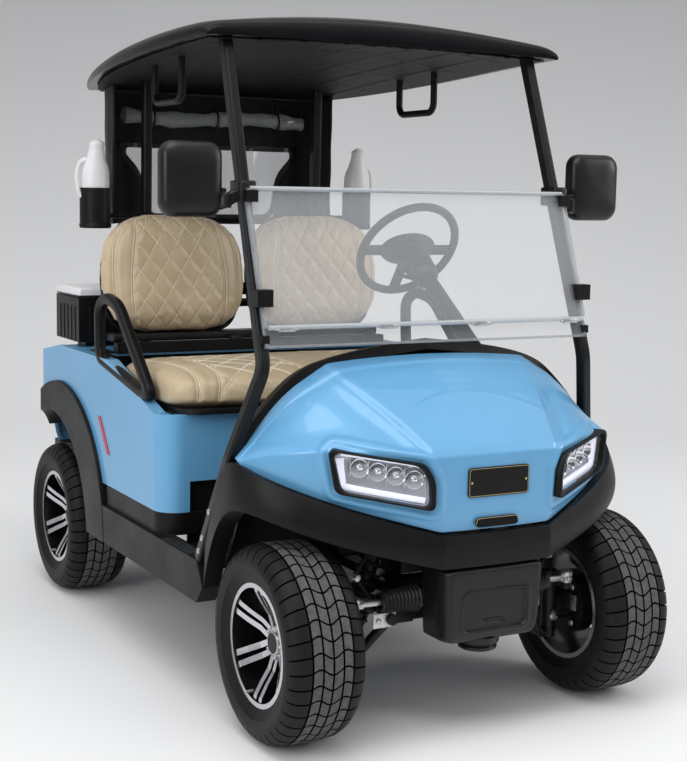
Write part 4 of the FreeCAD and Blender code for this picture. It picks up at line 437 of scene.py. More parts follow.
def make_sweep():
    """A floor that curves up into a wall behind the cart, its colour darkened by painted shade up the wall
    and on the floor near the camera.
    """
    profile = [(sweep_front, 0.0), (sweep_back - sweep_bend, 0.0)]
    for step in range(1, 17):
        angle = math.pi / 2 * step / 16
        profile.append((sweep_back - sweep_bend + sweep_bend * math.sin(angle),
                        sweep_bend * (1 - math.cos(angle))))
    profile.append((sweep_back, sweep_high))
    corners, faces = [], []
    for y, z in profile:
        corners += [(-sweep_half, y, z), (sweep_half, y, z)]
    for row in range(len(profile) - 1):
        faces.append((2 * row, 2 * row + 1, 2 * row + 3, 2 * row + 2))
    mesh = bpy.data.meshes.new("sweep")
    mesh.from_pydata(corners, [], faces)
    mesh.shade_smooth()
    made = bpy.data.objects.new("sweep", mesh)
    scene.collection.objects.link(made)
    floor = Finish("studio", (studio_tone,) * 3, 0.8)
    place = floor.node("ShaderNodeSeparateXYZ", {"Vector": floor.where()})
    # Painted shade: the wall fades from pale at its foot to dark at its top, and the floor is darker near the
    # camera, standing in for light falling off
    wall = floor.blended(floor.steps(place.outputs["Z"], 0.0, wall_rise), wall_low, wall_top_painted_shade)
    floor.colour(floor.steps(place.outputs["Y"], near_end, near_start), near_floor_painted_shade, wall)
    floor.bump(floor.noise(40), 0.0004, 0.1)
    mesh.materials.append(floor.material)
    made.rotation_euler = (0, 0, math.atan2(-camera_ahead[0], camera_ahead[1]))


def make_lamp(name, place, target, size, power):
    data = bpy.data.lights.new(name, "AREA")
    data.shape = "RECTANGLE"
    data.size, data.size_y = size
    data.energy = power
    made = bpy.data.objects.new(name, data)
    scene.collection.objects.link(made)
    made.location = place
    made.rotation_mode = "QUATERNION"
    made.rotation_quaternion = (Vector(target) - Vector(place)).to_track_quat("-Z", "Y")


lamps = (("key", (-1.2, -1.6, 4.6), (0, -0.2, 0.7), (3.4, 2.8), 88),
         ("left_fill", (-4.6, -2.2, 2.4), (0, 0, 0.8), (1.4, 2.4), 60),
         ("right_rim", (4.2, -2.6, 2.8), (0, -0.4, 0.8), (1.2, 2.4), 60))
sky_strength, sky_foot, sky_head = 0.70, -0.05, 0.75
sky_low, sky_high = (0.34, 0.35, 0.37, 1.0), (1.25, 1.26, 1.28, 1.0)


def make_sky():
    """An even sky, brighter overhead."""
    world = bpy.data.worlds.new("sky")
    world.use_nodes = True
    tree = world.node_tree
    sky = tree.nodes["Background"]
    sky.inputs["Strength"].default_value = sky_strength
    way = tree.nodes.new("ShaderNodeTexCoord")
    parts = tree.nodes.new("ShaderNodeSeparateXYZ")
    tree.links.new(way.outputs["Generated"], parts.inputs[0])
    rise = tree.nodes.new("ShaderNodeMapRange")
    rise.inputs["From Min"].default_value = sky_foot
    rise.inputs["From Max"].default_value = sky_head
    tree.links.new(parts.outputs["Z"], rise.inputs["Value"])
    mixed = tree.nodes.new("ShaderNodeMix")
    mixed.data_type = "RGBA"
    mixed.inputs["A"].default_value = sky_low
    mixed.inputs["B"].default_value = sky_high
    tree.links.new(rise.outputs["Result"], mixed.inputs["Factor"])
    tree.links.new(mixed.outputs["Result"], sky.inputs["Color"])
    scene.world = world


make_camera()
dress_nodes()
make_sweep()
for lamp in lamps:
    make_lamp(*lamp)
make_sky()
scene.view_settings.view_transform = "Standard"

# Mesh helpers


def add_piece(name, mesh, finish, body="chassis", stands_for=()):
    """Links a mesh as a piece that rides on a body and takes a finish."""
    made = bpy.data.objects.new(name, mesh)
    scene.collection.objects.link(made)
    if finish:
        mesh.materials.append(finishes[finish])
    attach(made, body)
    if stands_for:
        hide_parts(*stands_for)
    return made


def smooth_mesh(mesh, sharp_deg=40):
    mesh.shade_smooth()
    mesh.set_sharp_from_angle(angle=math.radians(sharp_deg))
    return mesh


def mesh_of(name, points, faces, sharp_deg=40):
    mesh = bpy.data.meshes.new(name)
    mesh.from_pydata([tuple(p) for p in points], [], faces)
    mesh.validate()
    return smooth_mesh(mesh, sharp_deg)


def grid_faces(rows, columns, ring=False, tube=False, start=0):
    """Quads of a grid of points, closed along its rows (ring) or its columns (tube)."""
    faces = []
    for r in range(rows if ring else rows - 1):
        for c in range(columns if tube else columns - 1):
            right, down = (c + 1) % columns, (r + 1) % rows
            faces.append((start + r * columns + c, start + r * columns + right,
                          start + down * columns + right, start + down * columns + c))
    return faces


def grid_mesh(name, grid, ring=False, tube=False, sharp_deg=40):
    grid = np.asarray(grid, float)
    rows, columns = grid.shape[:2]
    return mesh_of(name, grid.reshape(-1, 3), grid_faces(rows, columns, ring, tube), sharp_deg)


def edited(mesh, *changes):
    """The mesh after changes, each of them a function of its bmesh."""
    work = bmesh.new()
    work.from_mesh(mesh)
    for change in changes:
        change(work)
    work.to_mesh(mesh)
    work.free()
    return mesh


def face_out(work):
    bmesh.ops.recalc_face_normals(work, faces=work.faces)


def weld(work):
    bmesh.ops.remove_doubles(work, verts=work.verts, dist=2e-5)


def drop_loose(work):
    bmesh.ops.delete(work, geom=[v for v in work.verts if not v.link_faces], context="VERTS")


def outward(mesh):
    """Turns the faces of a closed mesh outward."""
    return edited(mesh, face_out)


def capped(mesh, rows, columns):
    """A tube of grid points with a face across each end."""
    def close(work):
        work.verts.ensure_lookup_table()
        for start in (0, (rows - 1) * columns):
            ring = [work.verts[start + c] for c in range(columns)]
            work.faces.new(ring[::-1] if start else ring)
    return edited(mesh, close, face_out)


def joined(name, meshes, sharp_deg=40):
    """One mesh from several."""
    work = bmesh.new()
    for mesh in meshes:
        work.from_mesh(mesh)
        bpy.data.meshes.remove(mesh)
    made = bpy.data.meshes.new(name)
    work.to_mesh(made)
    work.free()
    return smooth_mesh(made, sharp_deg)


def moved(mesh, matrix):
    mesh.transform(matrix)
    if matrix.determinant() < 0:
        mesh.flip_normals()
    return mesh


def mirror_x(mesh):
    """The mesh and its mirror image across the middle plane, as one mesh."""
    other = moved(mesh.copy(), Matrix.Scale(-1, 4, (1, 0, 0)))
    return joined(mesh.name, [mesh, other])


def evaluated(made):
    """The final mesh of a temporary object, which is removed together with its own mesh."""
    graph = bpy.context.evaluated_depsgraph_get()
    result = bpy.data.meshes.new_from_object(made.evaluated_get(graph))
    source = made.data
    name = source.name
    bpy.data.objects.remove(made)
    bpy.data.meshes.remove(source)
    result.name = name
    return result


def baked(source, kind, **settings):
    """The mesh with one modifier applied."""
    made = bpy.data.objects.new("bench", source)
    scene.collection.objects.link(made)
    step = made.modifiers.new(kind.lower(), kind)
    for key, value in settings.items():
        setattr(step, key, value)
    made.update_tag()
    bpy.context.view_layer.update()
    return evaluated(made)


def bevelled(mesh, width, segments=2, angle_deg=35):
    return baked(mesh, "BEVEL", width=width, segments=segments, limit_method="ANGLE",
                 angle_limit=math.radians(angle_deg))


def box_mesh(name, low, high, width=0.0, segments=2):
    x0, y0, z0 = low
    x1, y1, z1 = high
    points = [(x, y, z) for x in (x0, x1) for y in (y0, y1) for z in (z0, z1)]
    faces = [(0, 1, 3, 2), (4, 6, 7, 5), (0, 4, 5, 1), (2, 3, 7, 6), (0, 2, 6, 4), (1, 5, 7, 3)]
    mesh = outward(mesh_of(name, points, faces))
    return bevelled(mesh, width, segments) if width else mesh


def lathe(name, profile, axis, centre, sides=32, sharp_deg=35):
    """A profile of (along, radius) turned about an axis through centre. It closes where radius is 0."""
    along = Vector(axis).normalized()
    side = along.orthogonal().normalized()
    up = along.cross(side)
    grid = []
    for k in range(sides):
        angle = 2 * math.pi * k / sides
        spoke = side * math.cos(angle) + up * math.sin(angle)
        grid.append([Vector(centre) + along * s + spoke * max(r, 1e-5) for s, r in profile])
    mesh = grid_mesh(name, grid, ring=True, sharp_deg=sharp_deg)
    return smooth_mesh(edited(mesh, weld, face_out), sharp_deg)


def smooth_path(points, count, closed=False):
    """Evenly numbered points on a Catmull-Rom curve through the given ones."""
    given = [Vector(p) for p in points]
    last = len(given) - 1
    spans = len(given) if closed else last
    path = []
    for k in range(count):
        at = spans * k / (count if closed else count - 1)
        i = min(int(at), spans - 1)
        t = at - i
        near = (i - 1, i, i + 1, i + 2)
        a, b, c, d = (given[j % len(given) if closed else min(max(j, 0), last)] for j in near)
        path.append(0.5 * ((2 * b) + (c - a) * t + (2 * a - 5 * b + 4 * c - d) * t * t
                           + (3 * b - a - 3 * c + d) * t * t * t))
    return path


def sweep_mesh(name, path, section, closed=False, up=(0, 0, 1), sharp_deg=40):
    """A section of (side, up) pairs, or one for each point, carried along a path."""
    path = [Vector(p) for p in path]
    count = len(path)
    sections = section if isinstance(section[0][0], (list, tuple)) else [section] * count
    grid = []
    for k, spot in enumerate(path):
        before = path[(k - 1) % count] if closed or k else path[0]
        after = path[(k + 1) % count] if closed or k < count - 1 else path[-1]
        ahead = (after - before).normalized()
        side = ahead.cross(Vector(up)).normalized()
        over = side.cross(ahead)
        grid.append([spot + side * s + over * t for s, t in sections[k]])
    mesh = grid_mesh(name, grid, ring=closed, tube=True, sharp_deg=sharp_deg)
    mesh = outward(mesh) if closed else capped(mesh, count, len(sections[0]))
    return smooth_mesh(mesh, sharp_deg)


def round_section(radius, sides=12):
    return [(radius * math.cos(2 * math.pi * k / sides), radius * math.sin(2 * math.pi * k / sides))
            for k in range(sides)]


def block_section(width, height, corner, steps=3):
    """A rectangle with rounded corners, as (side, up) pairs."""
    made = []
    for q, (sx, sy) in enumerate(((1, 1), (-1, 1), (-1, -1), (1, -1))):
        for k in range(steps + 1):
            angle = math.pi / 2 * (q + k / steps)
            made.append((sx * (width / 2 - corner) + corner * math.cos(angle),
                         sy * (height / 2 - corner) + corner * math.sin(angle)))
    return made


def tube_mesh(name, path, radius, sides=12, closed=False, up=(0, 0, 1)):
    return sweep_mesh(name, path, round_section(radius, sides), closed, up)


def spring_mesh(name, start, end, coil_radius, wire_radius, turns):
    """A coil spring between two points."""
    start, end = Vector(start), Vector(end)
    along = (end - start).normalized()
    side = along.orthogonal().normalized()
    over = along.cross(side)
    steps = int(turns * 16)
    path = []
    for k in range(steps + 1):
        angle = 2 * math.pi * turns * k / steps
        path.append(start + (end - start) * (k / steps)
                    + (side * math.cos(angle) + over * math.sin(angle)) * coil_radius)
    return sweep_mesh(name, path, round_section(wire_radius, 6), up=tuple(along))


def bolt_mesh(name, place, facing, radius, height):
    """A domed bolt head standing on a face."""
    profile = [(0, 0), (0, radius), (height * 0.5, radius), (height * 0.85, radius * 0.75), (height, 0)]
    return lathe(name, profile, facing, place, sides=12)


# Tyres: blocks between wavy cross grooves and five grooves round the tread

tread_pitches, groove_step = 40, 0.028
tread_grooves = [groove_step * k for k in range(-2, 3)]
groove_width, groove_depth, groove_wall = 0.0052, 0.0065, 0.0007
tread_wave, tread_period, tread_half, block_share = 0.0085, 0.075, 0.056, 0.55
shoulder_fade, shoulder_lean, shoulder_sweep, face_edge = (0.098, 0.128), 0.07, 0.45, 0.0635
tyre_side_shares = [(0.0, 1.0), (0.24, 1.0), (0.47, 0.997), (0.66, 0.986), (0.76, 0.972),
                    (0.85, 0.948), (0.92, 0.917), (0.97, 0.876), (1.0, 0.82), (0.992, 0.775),
                    (0.975, 0.74), (0.975, 0.728), (0.945, 0.716), (0.9, 0.675), (0.84, 0.642),
                    (0.825, 0.612)]
tyre_hollow_shares = [(0.76, 0.612), (0.86, 0.72), (0.86, 0.83), (0.66, 0.93), (0.0, 0.945)]
side_kind, face_kind, groove_kind = 0, 1, 2


def tread_columns(runs):
    """The places across the tyre, as runs from its middle, that carry points."""
    edges = (groove_width / 2, groove_width / 2 - groove_wall)
    stops = {groove + sign * edge for groove in tread_grooves for edge in edges for sign in (-1, 1)}
    for row in (np.linspace(0.005, 0.051, 14), np.linspace(0.064, shoulder_fade[1], 9),
                runs[runs > shoulder_fade[1]]):
        stops |= {sign * q for sign in (-1, 1) for q in row}
    return sorted(stops)


def tyre_mesh(half, radius):
    """One tyre about the X axis, its middle at the origin."""
    shape = np.array([(s * half, r * radius) for s, r in tyre_side_shares])
    runs = np.concatenate(([0], np.cumsum(np.linalg.norm(np.diff(shape, axis=0), axis=1))))
    columns, pitch = tread_columns(runs), 2 * math.pi / tread_pitches
    turns = []
    for p in range(tread_pitches):
        for phase, sunk in ((0.0, 0.0), (groove_wall, 1.0), (groove_width - groove_wall, 1.0),
                            (groove_width, 0.0)):
            turns.append((pitch * p + phase / radius, sunk))
        turns.append((pitch * (p + block_share), 0.0))
    grid, kinds = [], []
    for turn, sunk in turns:
        line, kind = [], []
        for s in columns:
            size = abs(s)
            across = math.copysign(float(np.interp(size, runs, shape[:, 0])), s)
            out = float(np.interp(size, runs, shape[:, 1]))
            groove = any(abs(s - g) < groove_width / 2 - groove_wall / 2 for g in tread_grooves)
            fade = 1 - float(np.clip((size - shoulder_fade[0]) / (shoulder_fade[1] - shoulder_fade[0]), 0, 1))
            depth = groove_depth * max(1.0 if groove else 0.0, sunk * fade)
            wave = tread_wave * math.cos(2 * math.pi * min(size, tread_half) / tread_period) / radius
            angle = turn + wave + max(size - tread_half, 0) * shoulder_sweep
            lean = min(max((size - tread_half) / shoulder_lean, 0), 1)
            across -= math.copysign(depth * lean * 0.8, s)
            out -= depth * (1 - lean * 0.4)
            line.append((across, out * math.cos(angle), out * math.sin(angle)))
            low = depth > groove_depth * 0.3
            kind.append(groove_kind if low else face_kind if size < face_edge else side_kind)
        hollow = [(share, high) for share, high in tyre_hollow_shares]
        hollow += [(-share, high) for share, high in tyre_hollow_shares[-2::-1]]
        for share, high in hollow:
            line.append((share * half, high * radius * math.cos(turn), high * radius * math.sin(turn)))
        grid.append(line)
        kinds.append(kind + [side_kind] * len(hollow))
    mesh = outward(grid_mesh("tyre", grid, ring=True, tube=True, sharp_deg=32))
    kinds = np.array(kinds)
    kinds = np.maximum(kinds, np.roll(kinds, -1, 0))
    following = np.roll(kinds, -1, 1)
    sunken = np.maximum(kinds, following) == groove_kind
    kinds = np.where(sunken, groove_kind, np.minimum(kinds, following))
    mesh.polygons.foreach_set("material_index", kinds.ravel().astype(np.int32))
    return mesh


def make_wheels():
    low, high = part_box("tyre_front_right")
    pattern = tyre_mesh((high.x - low.x) / 2, (high.z - low.z) / 2)
    for end in ("front", "rear"):
        for side_name, side in (("right", -1), ("left", 1)):
            place, body = f"{end}_{side_name}", f"wheel_{end}_{side_name}"
            low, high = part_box("tyre_" + place)
            centre = (low + high) / 2
            mesh = moved(pattern.copy(), Matrix.Translation(centre))
            add_piece("tread_" + place, mesh, "tyre_rubber", body, ("tyre_" + place,))
            mesh.materials.append(finishes["tread_face"])
            mesh.materials.append(finishes["tread_groove"])
            dress_rim(place, centre, side, body)
    bpy.data.meshes.remove(pattern)


cap_radius, cap_proud, lug_ring, lug_radius, lug_count = 0.029, 0.0075, 0.0385, 0.0055, 5
rim_face, rim_dish = 0.0845, 0.050
valve_in, valve_y, valve_z = 0.004, 0.034, -0.131


def dress_rim(place, centre, side, body):
    """Centre cap with a bright edge, five wheel nuts and the valve."""
    face = centre + Vector((rim_face - rim_dish, 0, 0)) * side
    axis = (side, 0, 0)
    ring_outline = [(0, 0), (0, cap_radius + 0.002), (cap_proud, cap_radius + 0.002),
                    (cap_proud + 0.001, cap_radius - 0.0005), (cap_proud - 0.001, 0)]
    bright = [lathe("ring", ring_outline, axis, face)]
    nut_outline = [(0, 0), (0, lug_radius), (0.006, lug_radius), (0.0085, 0.0035), (0.009, 0)]
    for k in range(lug_count):
        angle = 2 * math.pi * (k + 0.5) / lug_count
        spot = face + Vector((0, math.cos(angle), math.sin(angle))) * lug_ring
        bright.append(lathe("nut", nut_outline, axis, spot, sides=6))
    valve_at = centre + Vector(((rim_face - valve_in) * side, valve_y, valve_z))
    valve_outline = [(0, 0), (0, 0.0045), (0.012, 0.004), (0.02, 0.0035), (0.02, 0)]
    bright.append(lathe("valve", valve_outline, axis, valve_at, 10))
    add_piece(f"wheel_nuts_{place}", joined("nuts", bright), "steel", body)
    badge_outline = [(cap_proud - 0.001, 0), (cap_proud - 0.001, cap_radius - 0.001),
                     (cap_proud + 0.0012, cap_radius - 0.002), (cap_proud + 0.003, 0)]
    add_piece(f"wheel_cap_{place}", lathe("badge", badge_outline, axis, face), "plate_black", body)


make_wheels()

# Front cowl: the panel as pressed, with rolled creases, a raised rim and lamp lips

nose_origin, nose_span = Vector((0, -0.750, 0.500)), Vector((0.600, -0.400, 0.500))
cowl_shares = [
    [(0, 0.062, 0.980), (0.525, 0.042, 0.915), (0.675, 0.035, 0.790), (0.808, 0.030, 0.625),
     (0.910, 0.030, 0.500), (0.953, 0.030, 0.445)],
    [(0, 0.540, 0.870), (0.425, 0.488, 0.765), (0.600, 0.425, 0.700), (0.783, 0.300, 0.640),
     (0.920, 0.150, 0.520), (0.960, 0.062, 0.446)],
    [(0, 0.955, 0.530), (0.307, 0.935, 0.524), (0.508, 0.810, 0.540), (0.717, 0.655, 0.556),
     (0.892, 0.325, 0.505), (0.963, 0.100, 0.440)],
    [(0, 0.965, 0.320), (0.295, 0.938, 0.320), (0.510, 0.812, 0.350), (0.745, 0.625, 0.405),
     (0.892, 0.338, 0.440), (0.963, 0.112, 0.434)],
    [(0, 0.952, 0.125), (0.277, 0.928, 0.130), (0.500, 0.765, 0.200), (0.733, 0.590, 0.285),
     (0.892, 0.300, 0.370), (0.958, 0.125, 0.424)],
]
lamp_origin, lamp_size, lamp_turn = Vector((0.192, -1.128, 0.620)), (0.262, 0.160), math.radians(26)
lamp_along = Vector((math.cos(lamp_turn), math.sin(lamp_turn), 0))
lamp_out = Vector((math.sin(lamp_turn), -math.cos(lamp_turn), 0))
lamp_shares = [(0.00, 0.03), (0.005, 0.50), (0.10, 0.76), (0.955, 0.97), (1.0, 0.90), (0.93, 0.30)]


def spline_weights(poles, count):
    """Weights of clamped spline poles at evenly spaced places, with tight steps at both ends."""
    degree = min(3, poles - 1)
    inner = np.linspace(0, 1, poles - degree + 1)
    knots = np.concatenate((np.zeros(degree), inner, np.ones(degree)))
    places = np.linspace(0, 1, count)
    table = np.zeros((count, poles))
    for row, t in enumerate(places):
        t = min(t, 1 - 1e-9)
        basis = [1.0 if knots[i] <= t < knots[i + 1] else 0.0 for i in range(len(knots) - 1)]
        for d in range(1, degree + 1):
            fresh = []
            for i in range(len(basis) - 1):
                left, right = knots[i + d] - knots[i], knots[i + d + 1] - knots[i + 1]
                value = (t - knots[i]) / left * basis[i] if left else 0.0
                if right:
                    value += (knots[i + d + 1] - t) / right * basis[i + 1]
                fresh.append(value)
            basis = fresh
        table[row] = basis
    return table


def spline_blocks(poles, stops, counts, axis):
    """Poles turned into points along an axis, in blocks that meet at the stops."""
    poles = np.moveaxis(np.asarray(poles, float), axis, 0)
    blocks = []
    for (low, high), count in zip(zip(stops, stops[1:]), counts):
        part = np.tensordot(spline_weights(high - low + 1, count), poles[low:high + 1], 1)
        blocks.append(part if not blocks else part[1:])
    return np.moveaxis(np.concatenate(blocks), 0, axis)


def soft_step(value, low, high):
    share = np.clip((value - low) / (high - low), 0, 1)
    return share * share * (3 - 2 * share)


def bell(value, width):
    """1 where value is 0, falling off on both sides over about the width."""
    return np.exp(-(value / width) ** 2)


def mirrored_grid(half):
    """A half grid from the middle out, completed with its mirror image."""
    half = np.asarray(half, float)
    other = half[:, :0:-1].copy()
    other[..., 0] *= -1
    return np.concatenate((other, half), 1)


def eased(grid, rounds):
    """The grid with its creases rolled and its rim kept."""
    for _ in range(rounds):
        for axis in (0, 1):
            grid = np.moveaxis(grid, axis, 0)
            fresh = grid.copy()
            fresh[1:-1] = grid[1:-1] * 0.5 + (grid[:-2] + grid[2:]) * 0.25
            grid = np.moveaxis(fresh, 0, axis)
    return grid


def grid_normals(grid, toward):
    """Unit normals of a grid, turned to the side that toward lies on."""
    down, side = np.gradient(grid, axis=0), np.gradient(grid, axis=1)
    normal = np.cross(down, side)
    normal /= np.maximum(np.linalg.norm(normal, axis=2, keepdims=True), 1e-9)
    if float((normal.reshape(-1, 3) @ np.asarray(toward)).sum()) < 0:
        normal = -normal
    return normal


def run_lengths(grid, axis):
    """How far each point lies along its own line of the grid."""
    steps = np.linalg.norm(np.diff(grid, axis=axis), axis=2)
    zero = np.zeros_like(np.take(steps, [0], axis))
    return np.concatenate((zero, np.cumsum(steps, axis)), axis)


def lamp_outline(inset=0.0):
    long, high = lamp_size
    corners = []
    for u, v in lamp_shares:
        reach = Vector(((u - 0.5) * long, (v - 0.5) * high))
        reach *= 1 - inset / reach.length
        corners.append((reach.x + long / 2, reach.y + high / 2))
    return corners


def rounded_outline(corners, radius, steps=5):
    """A closed outline with its corners rounded."""
    made = []
    count = len(corners)
    for k in range(count):
        before, here, after = (Vector(corners[(k + j) % count]) for j in (-1, 0, 1))
        start, end = (before - here), (after - here)
        reach = min(radius, start.length * 0.45, end.length * 0.45)
        start, end = here + start.normalized() * reach, here + end.normalized() * reach
        for i in range(steps + 1):
            t = i / steps
            made.append(start * (1 - t) ** 2 + here * 2 * t * (1 - t) + end * t * t)
    return made


def path_distance(a, b, paths):
    """Distance of every point (a, b) from the nearest of the paths."""
    best = np.full(a.shape, 9.0)
    for path in paths:
        for (ax, ay), (bx, by) in zip(path, path[1:]):
            ex, ey = bx - ax, by - ay
            size = ex * ex + ey * ey
            if size < 1e-12:
                continue
            share = np.clip(((a - ax) * ex + (b - ay) * ey) / size, 0, 1)
            best = np.minimum(best, np.hypot(a - ax - share * ex, b - ay - share * ey))
    return best


def outline_distance(u, v, corners):
    """Distance from a closed outline, below zero inside it."""
    ring = corners + corners[:1]
    inside = np.zeros(u.shape, bool)
    for (ax, ay), (bx, by) in zip(ring, ring[1:]):
        inside ^= ((ay > v) != (by > v)) & (u < (bx - ax) * (v - ay) / ((by - ay) or 1e-9) + ax)
    away = path_distance(u, v, [ring])
    return np.where(inside, -away, away)


def lamp_point(u, v, out):
    """A place along, above and out of the left lamp's own plane."""
    return lamp_origin + lamp_along * u + Vector((0, 0, v)) + lamp_out * out


def lamp_places(grid):
    """Every point's place along, above and out of the plane of the lamp on its side."""
    dx, dy = np.abs(grid[..., 0]) - lamp_origin.x, grid[..., 1] - lamp_origin.y
    return (dx * lamp_along.x + dy * lamp_along.y, grid[..., 2] - lamp_origin.z,
            dx * lamp_out.x + dy * lamp_out.y)


def shell_mesh(name, grid, thickness, drop=None, sharp_deg=50):
    """A sheet with real thickness from a grid, leaving out the faces marked in drop."""
    rows, columns = grid.shape[:2]
    faces = grid_faces(rows, columns)
    if drop is not None:
        faces = [f for f in faces if not drop[f[0] // columns, f[0] % columns]]
    mesh = edited(mesh_of(name, grid.reshape(-1, 3), faces, sharp_deg), drop_loose)
    return smooth_mesh(baked(mesh, "SOLIDIFY", thickness=thickness, offset=1.0), sharp_deg)


top_rows, face_rows = 80, 50
flank_columns, hood_columns = 108, 86


def cowl_grid():
    half = [[nose_origin + Vector(p) * nose_span for p in row] for row in cowl_shares]
    poles = mirrored_grid(half)
    grid = spline_blocks(poles, (0, 2, 4), (top_rows, face_rows), 0)
    return spline_blocks(grid, (0, 4, 6, 10), (flank_columns, hood_columns, flank_columns), 1)


flank_bulge, flank_wide, valley_depth, valley_at, valley_wide = 0.015, 0.30, 0.0060, 0.055, 0.034
ridge_high, ridge_wide, groove_sunk, groove_at, groove_wide = 0.0042, 0.005, 0.0034, 0.013, 0.006
rim_high, rim_wide, arc_high, arc_wide, lip_high = 0.0034, 0.040, 0.0028, 0.0065, 0.0065
cowl_wall, lamp_hole_lap, lamp_reach = 0.005, 0.005, 0.07


def cowl_lift(grid):
    """How far the pressed panel stands off its plain form at flanks, ridge, grooves, rim and arc."""
    across, along = run_lengths(grid, 1), run_lengths(grid, 0)
    side = np.abs(grid[..., 0])
    left, right = flank_columns - 1, flank_columns + hood_columns - 2
    outside = np.zeros(side.shape)
    outside[:, :left] = across[:, left:left + 1] - across[:, :left]
    outside[:, right:] = across[:, right:] - across[:, right:right + 1]
    rows = np.arange(len(grid)) / (top_rows - 1)
    fade = (0.35 + 0.65 * soft_step(rows, 0.05, 0.6)) * (rows <= 1)
    fade = (fade * (1 - 0.8 * soft_step(rows, 0.89, 1.02)))[:, None]
    flank = np.clip(outside / flank_wide, 0, 1)
    lift = flank_bulge * np.sin(math.pi * flank) * (1 - soft_step(rows, 0.09, 0.75))[:, None]
    lift -= valley_depth * np.where(outside > 0, bell(outside - valley_at, valley_wide), 0) * fade
    lift += ridge_high * bell(outside, ridge_wide) * (fade > 0.02) * fade
    lift -= groove_sunk * bell(outside - groove_at, groove_wide) * fade
    ledge = along - along[top_rows - 1:top_rows]
    lift -= groove_sunk * bell(ledge + 0.004, 0.005) * bell(outside, 0.04)
    rim = rim_wide - 0.016 * soft_step(side, 0.3, 0.55)
    lift += rim_high * (1 - soft_step(along, rim, rim + 0.006))
    arc = 0.200 + 0.150 * (side / 0.30) ** 2
    return lift + arc_high * bell(along - arc, arc_wide) * bell(outside, 0.012)


def make_cowl():
    """The pressed panel, with a lip round each lamp opening and no sheet inside it."""
    grid = eased(cowl_grid(), 2)
    up = grid_normals(grid, (0, -0.4, 1))
    u, v, out = lamp_places(grid)
    away = outline_distance(u, v, lamp_outline())
    near = soft_step(away, 0.009, 0.015) * (1 - soft_step(away, 0.021, 0.035))
    lift = cowl_lift(grid) + lip_high * near * soft_step(out, -0.085, -0.04)
    grid = eased(grid + up * lift[..., None], 1)
    proud = lamp_places(grid)[2]
    back = np.maximum(proud - 0.001, 0) * (1 - soft_step(away, 0.007, 0.018))
    grid[..., 0] -= back * lamp_out.x * np.sign(grid[..., 0])
    grid[..., 1] -= back * lamp_out.y
    inside = (away < -lamp_hole_lap) & (out > -lamp_reach)
    drop = inside[:-1, :-1] | inside[1:, :-1] | inside[:-1, 1:] | inside[1:, 1:]
    add_piece("cowl_panel", shell_mesh("cowl", grid, cowl_wall, drop), "body_paint", "chassis",
              ("front_cowl",))


lamp_middle = (0.131, 0.083)
projector_count, projector_at, projector_step = 4, (0.050, 0.080), (0.046, 0.0095)


def lamp_dish(name, levels, corner, sharp_deg, middle_out=None):
    """Rings along the lamp's outline at (inset, out), drawn together at the middle where that is given."""
    grid = [[lamp_point(p.x, p.y, out) for p in rounded_outline(lamp_outline(inset), corner)]
            for inset, out in levels]
    if middle_out is not None:
        grid.append([lamp_point(*lamp_middle, middle_out)] * len(grid[0]))
    return grid_mesh(name, grid, tube=True, sharp_deg=sharp_deg)


def lamp_guide(points, out, width, height, corner):
    """A light strip behind the lens through flat places."""
    path = [lamp_point(p[0], p[1], out) for p in points]
    return sweep_mesh("strip", path, block_section(width, height, corner), up=tuple(lamp_out))


def lamp_projectors():
    """The faceted bowls with a fin beside each, and the domes inside them."""
    bowl = [(-0.006, 0.0), (-0.004, 0.011), (0.006, 0.0185), (0.0155, 0.0215), (0.018, 0.0225),
            (0.0185, 0.0235), (0.016, 0.0245), (-0.004, 0.0235)]
    dome = [(-0.003, 0.010)] + [(0.012 * math.sin(a) - 0.003, 0.010 * math.cos(a))
                                for a in np.linspace(0.15, math.pi / 2, 7)]
    bowls, domes = [], []
    for k in range(projector_count):
        u, v = (at + step * k for at, step in zip(projector_at, projector_step))
        centre = lamp_point(u, v, -0.030)
        bowls.append(lathe("bowl", bowl, lamp_out, centre, 14, 12))
        domes.append(lathe("dome", dome, lamp_out, centre + lamp_out * 0.002, 24))
        place = Matrix.Translation(lamp_point(u + 0.0235, v + 0.004, -0.026))
        fin = box_mesh("fin", (-0.0012, -0.007, -0.024), (0.0012, 0.007, 0.024))
        bowls.append(moved(fin, place @ Matrix.Rotation(lamp_turn, 4, "Z")))
    return bowls, domes


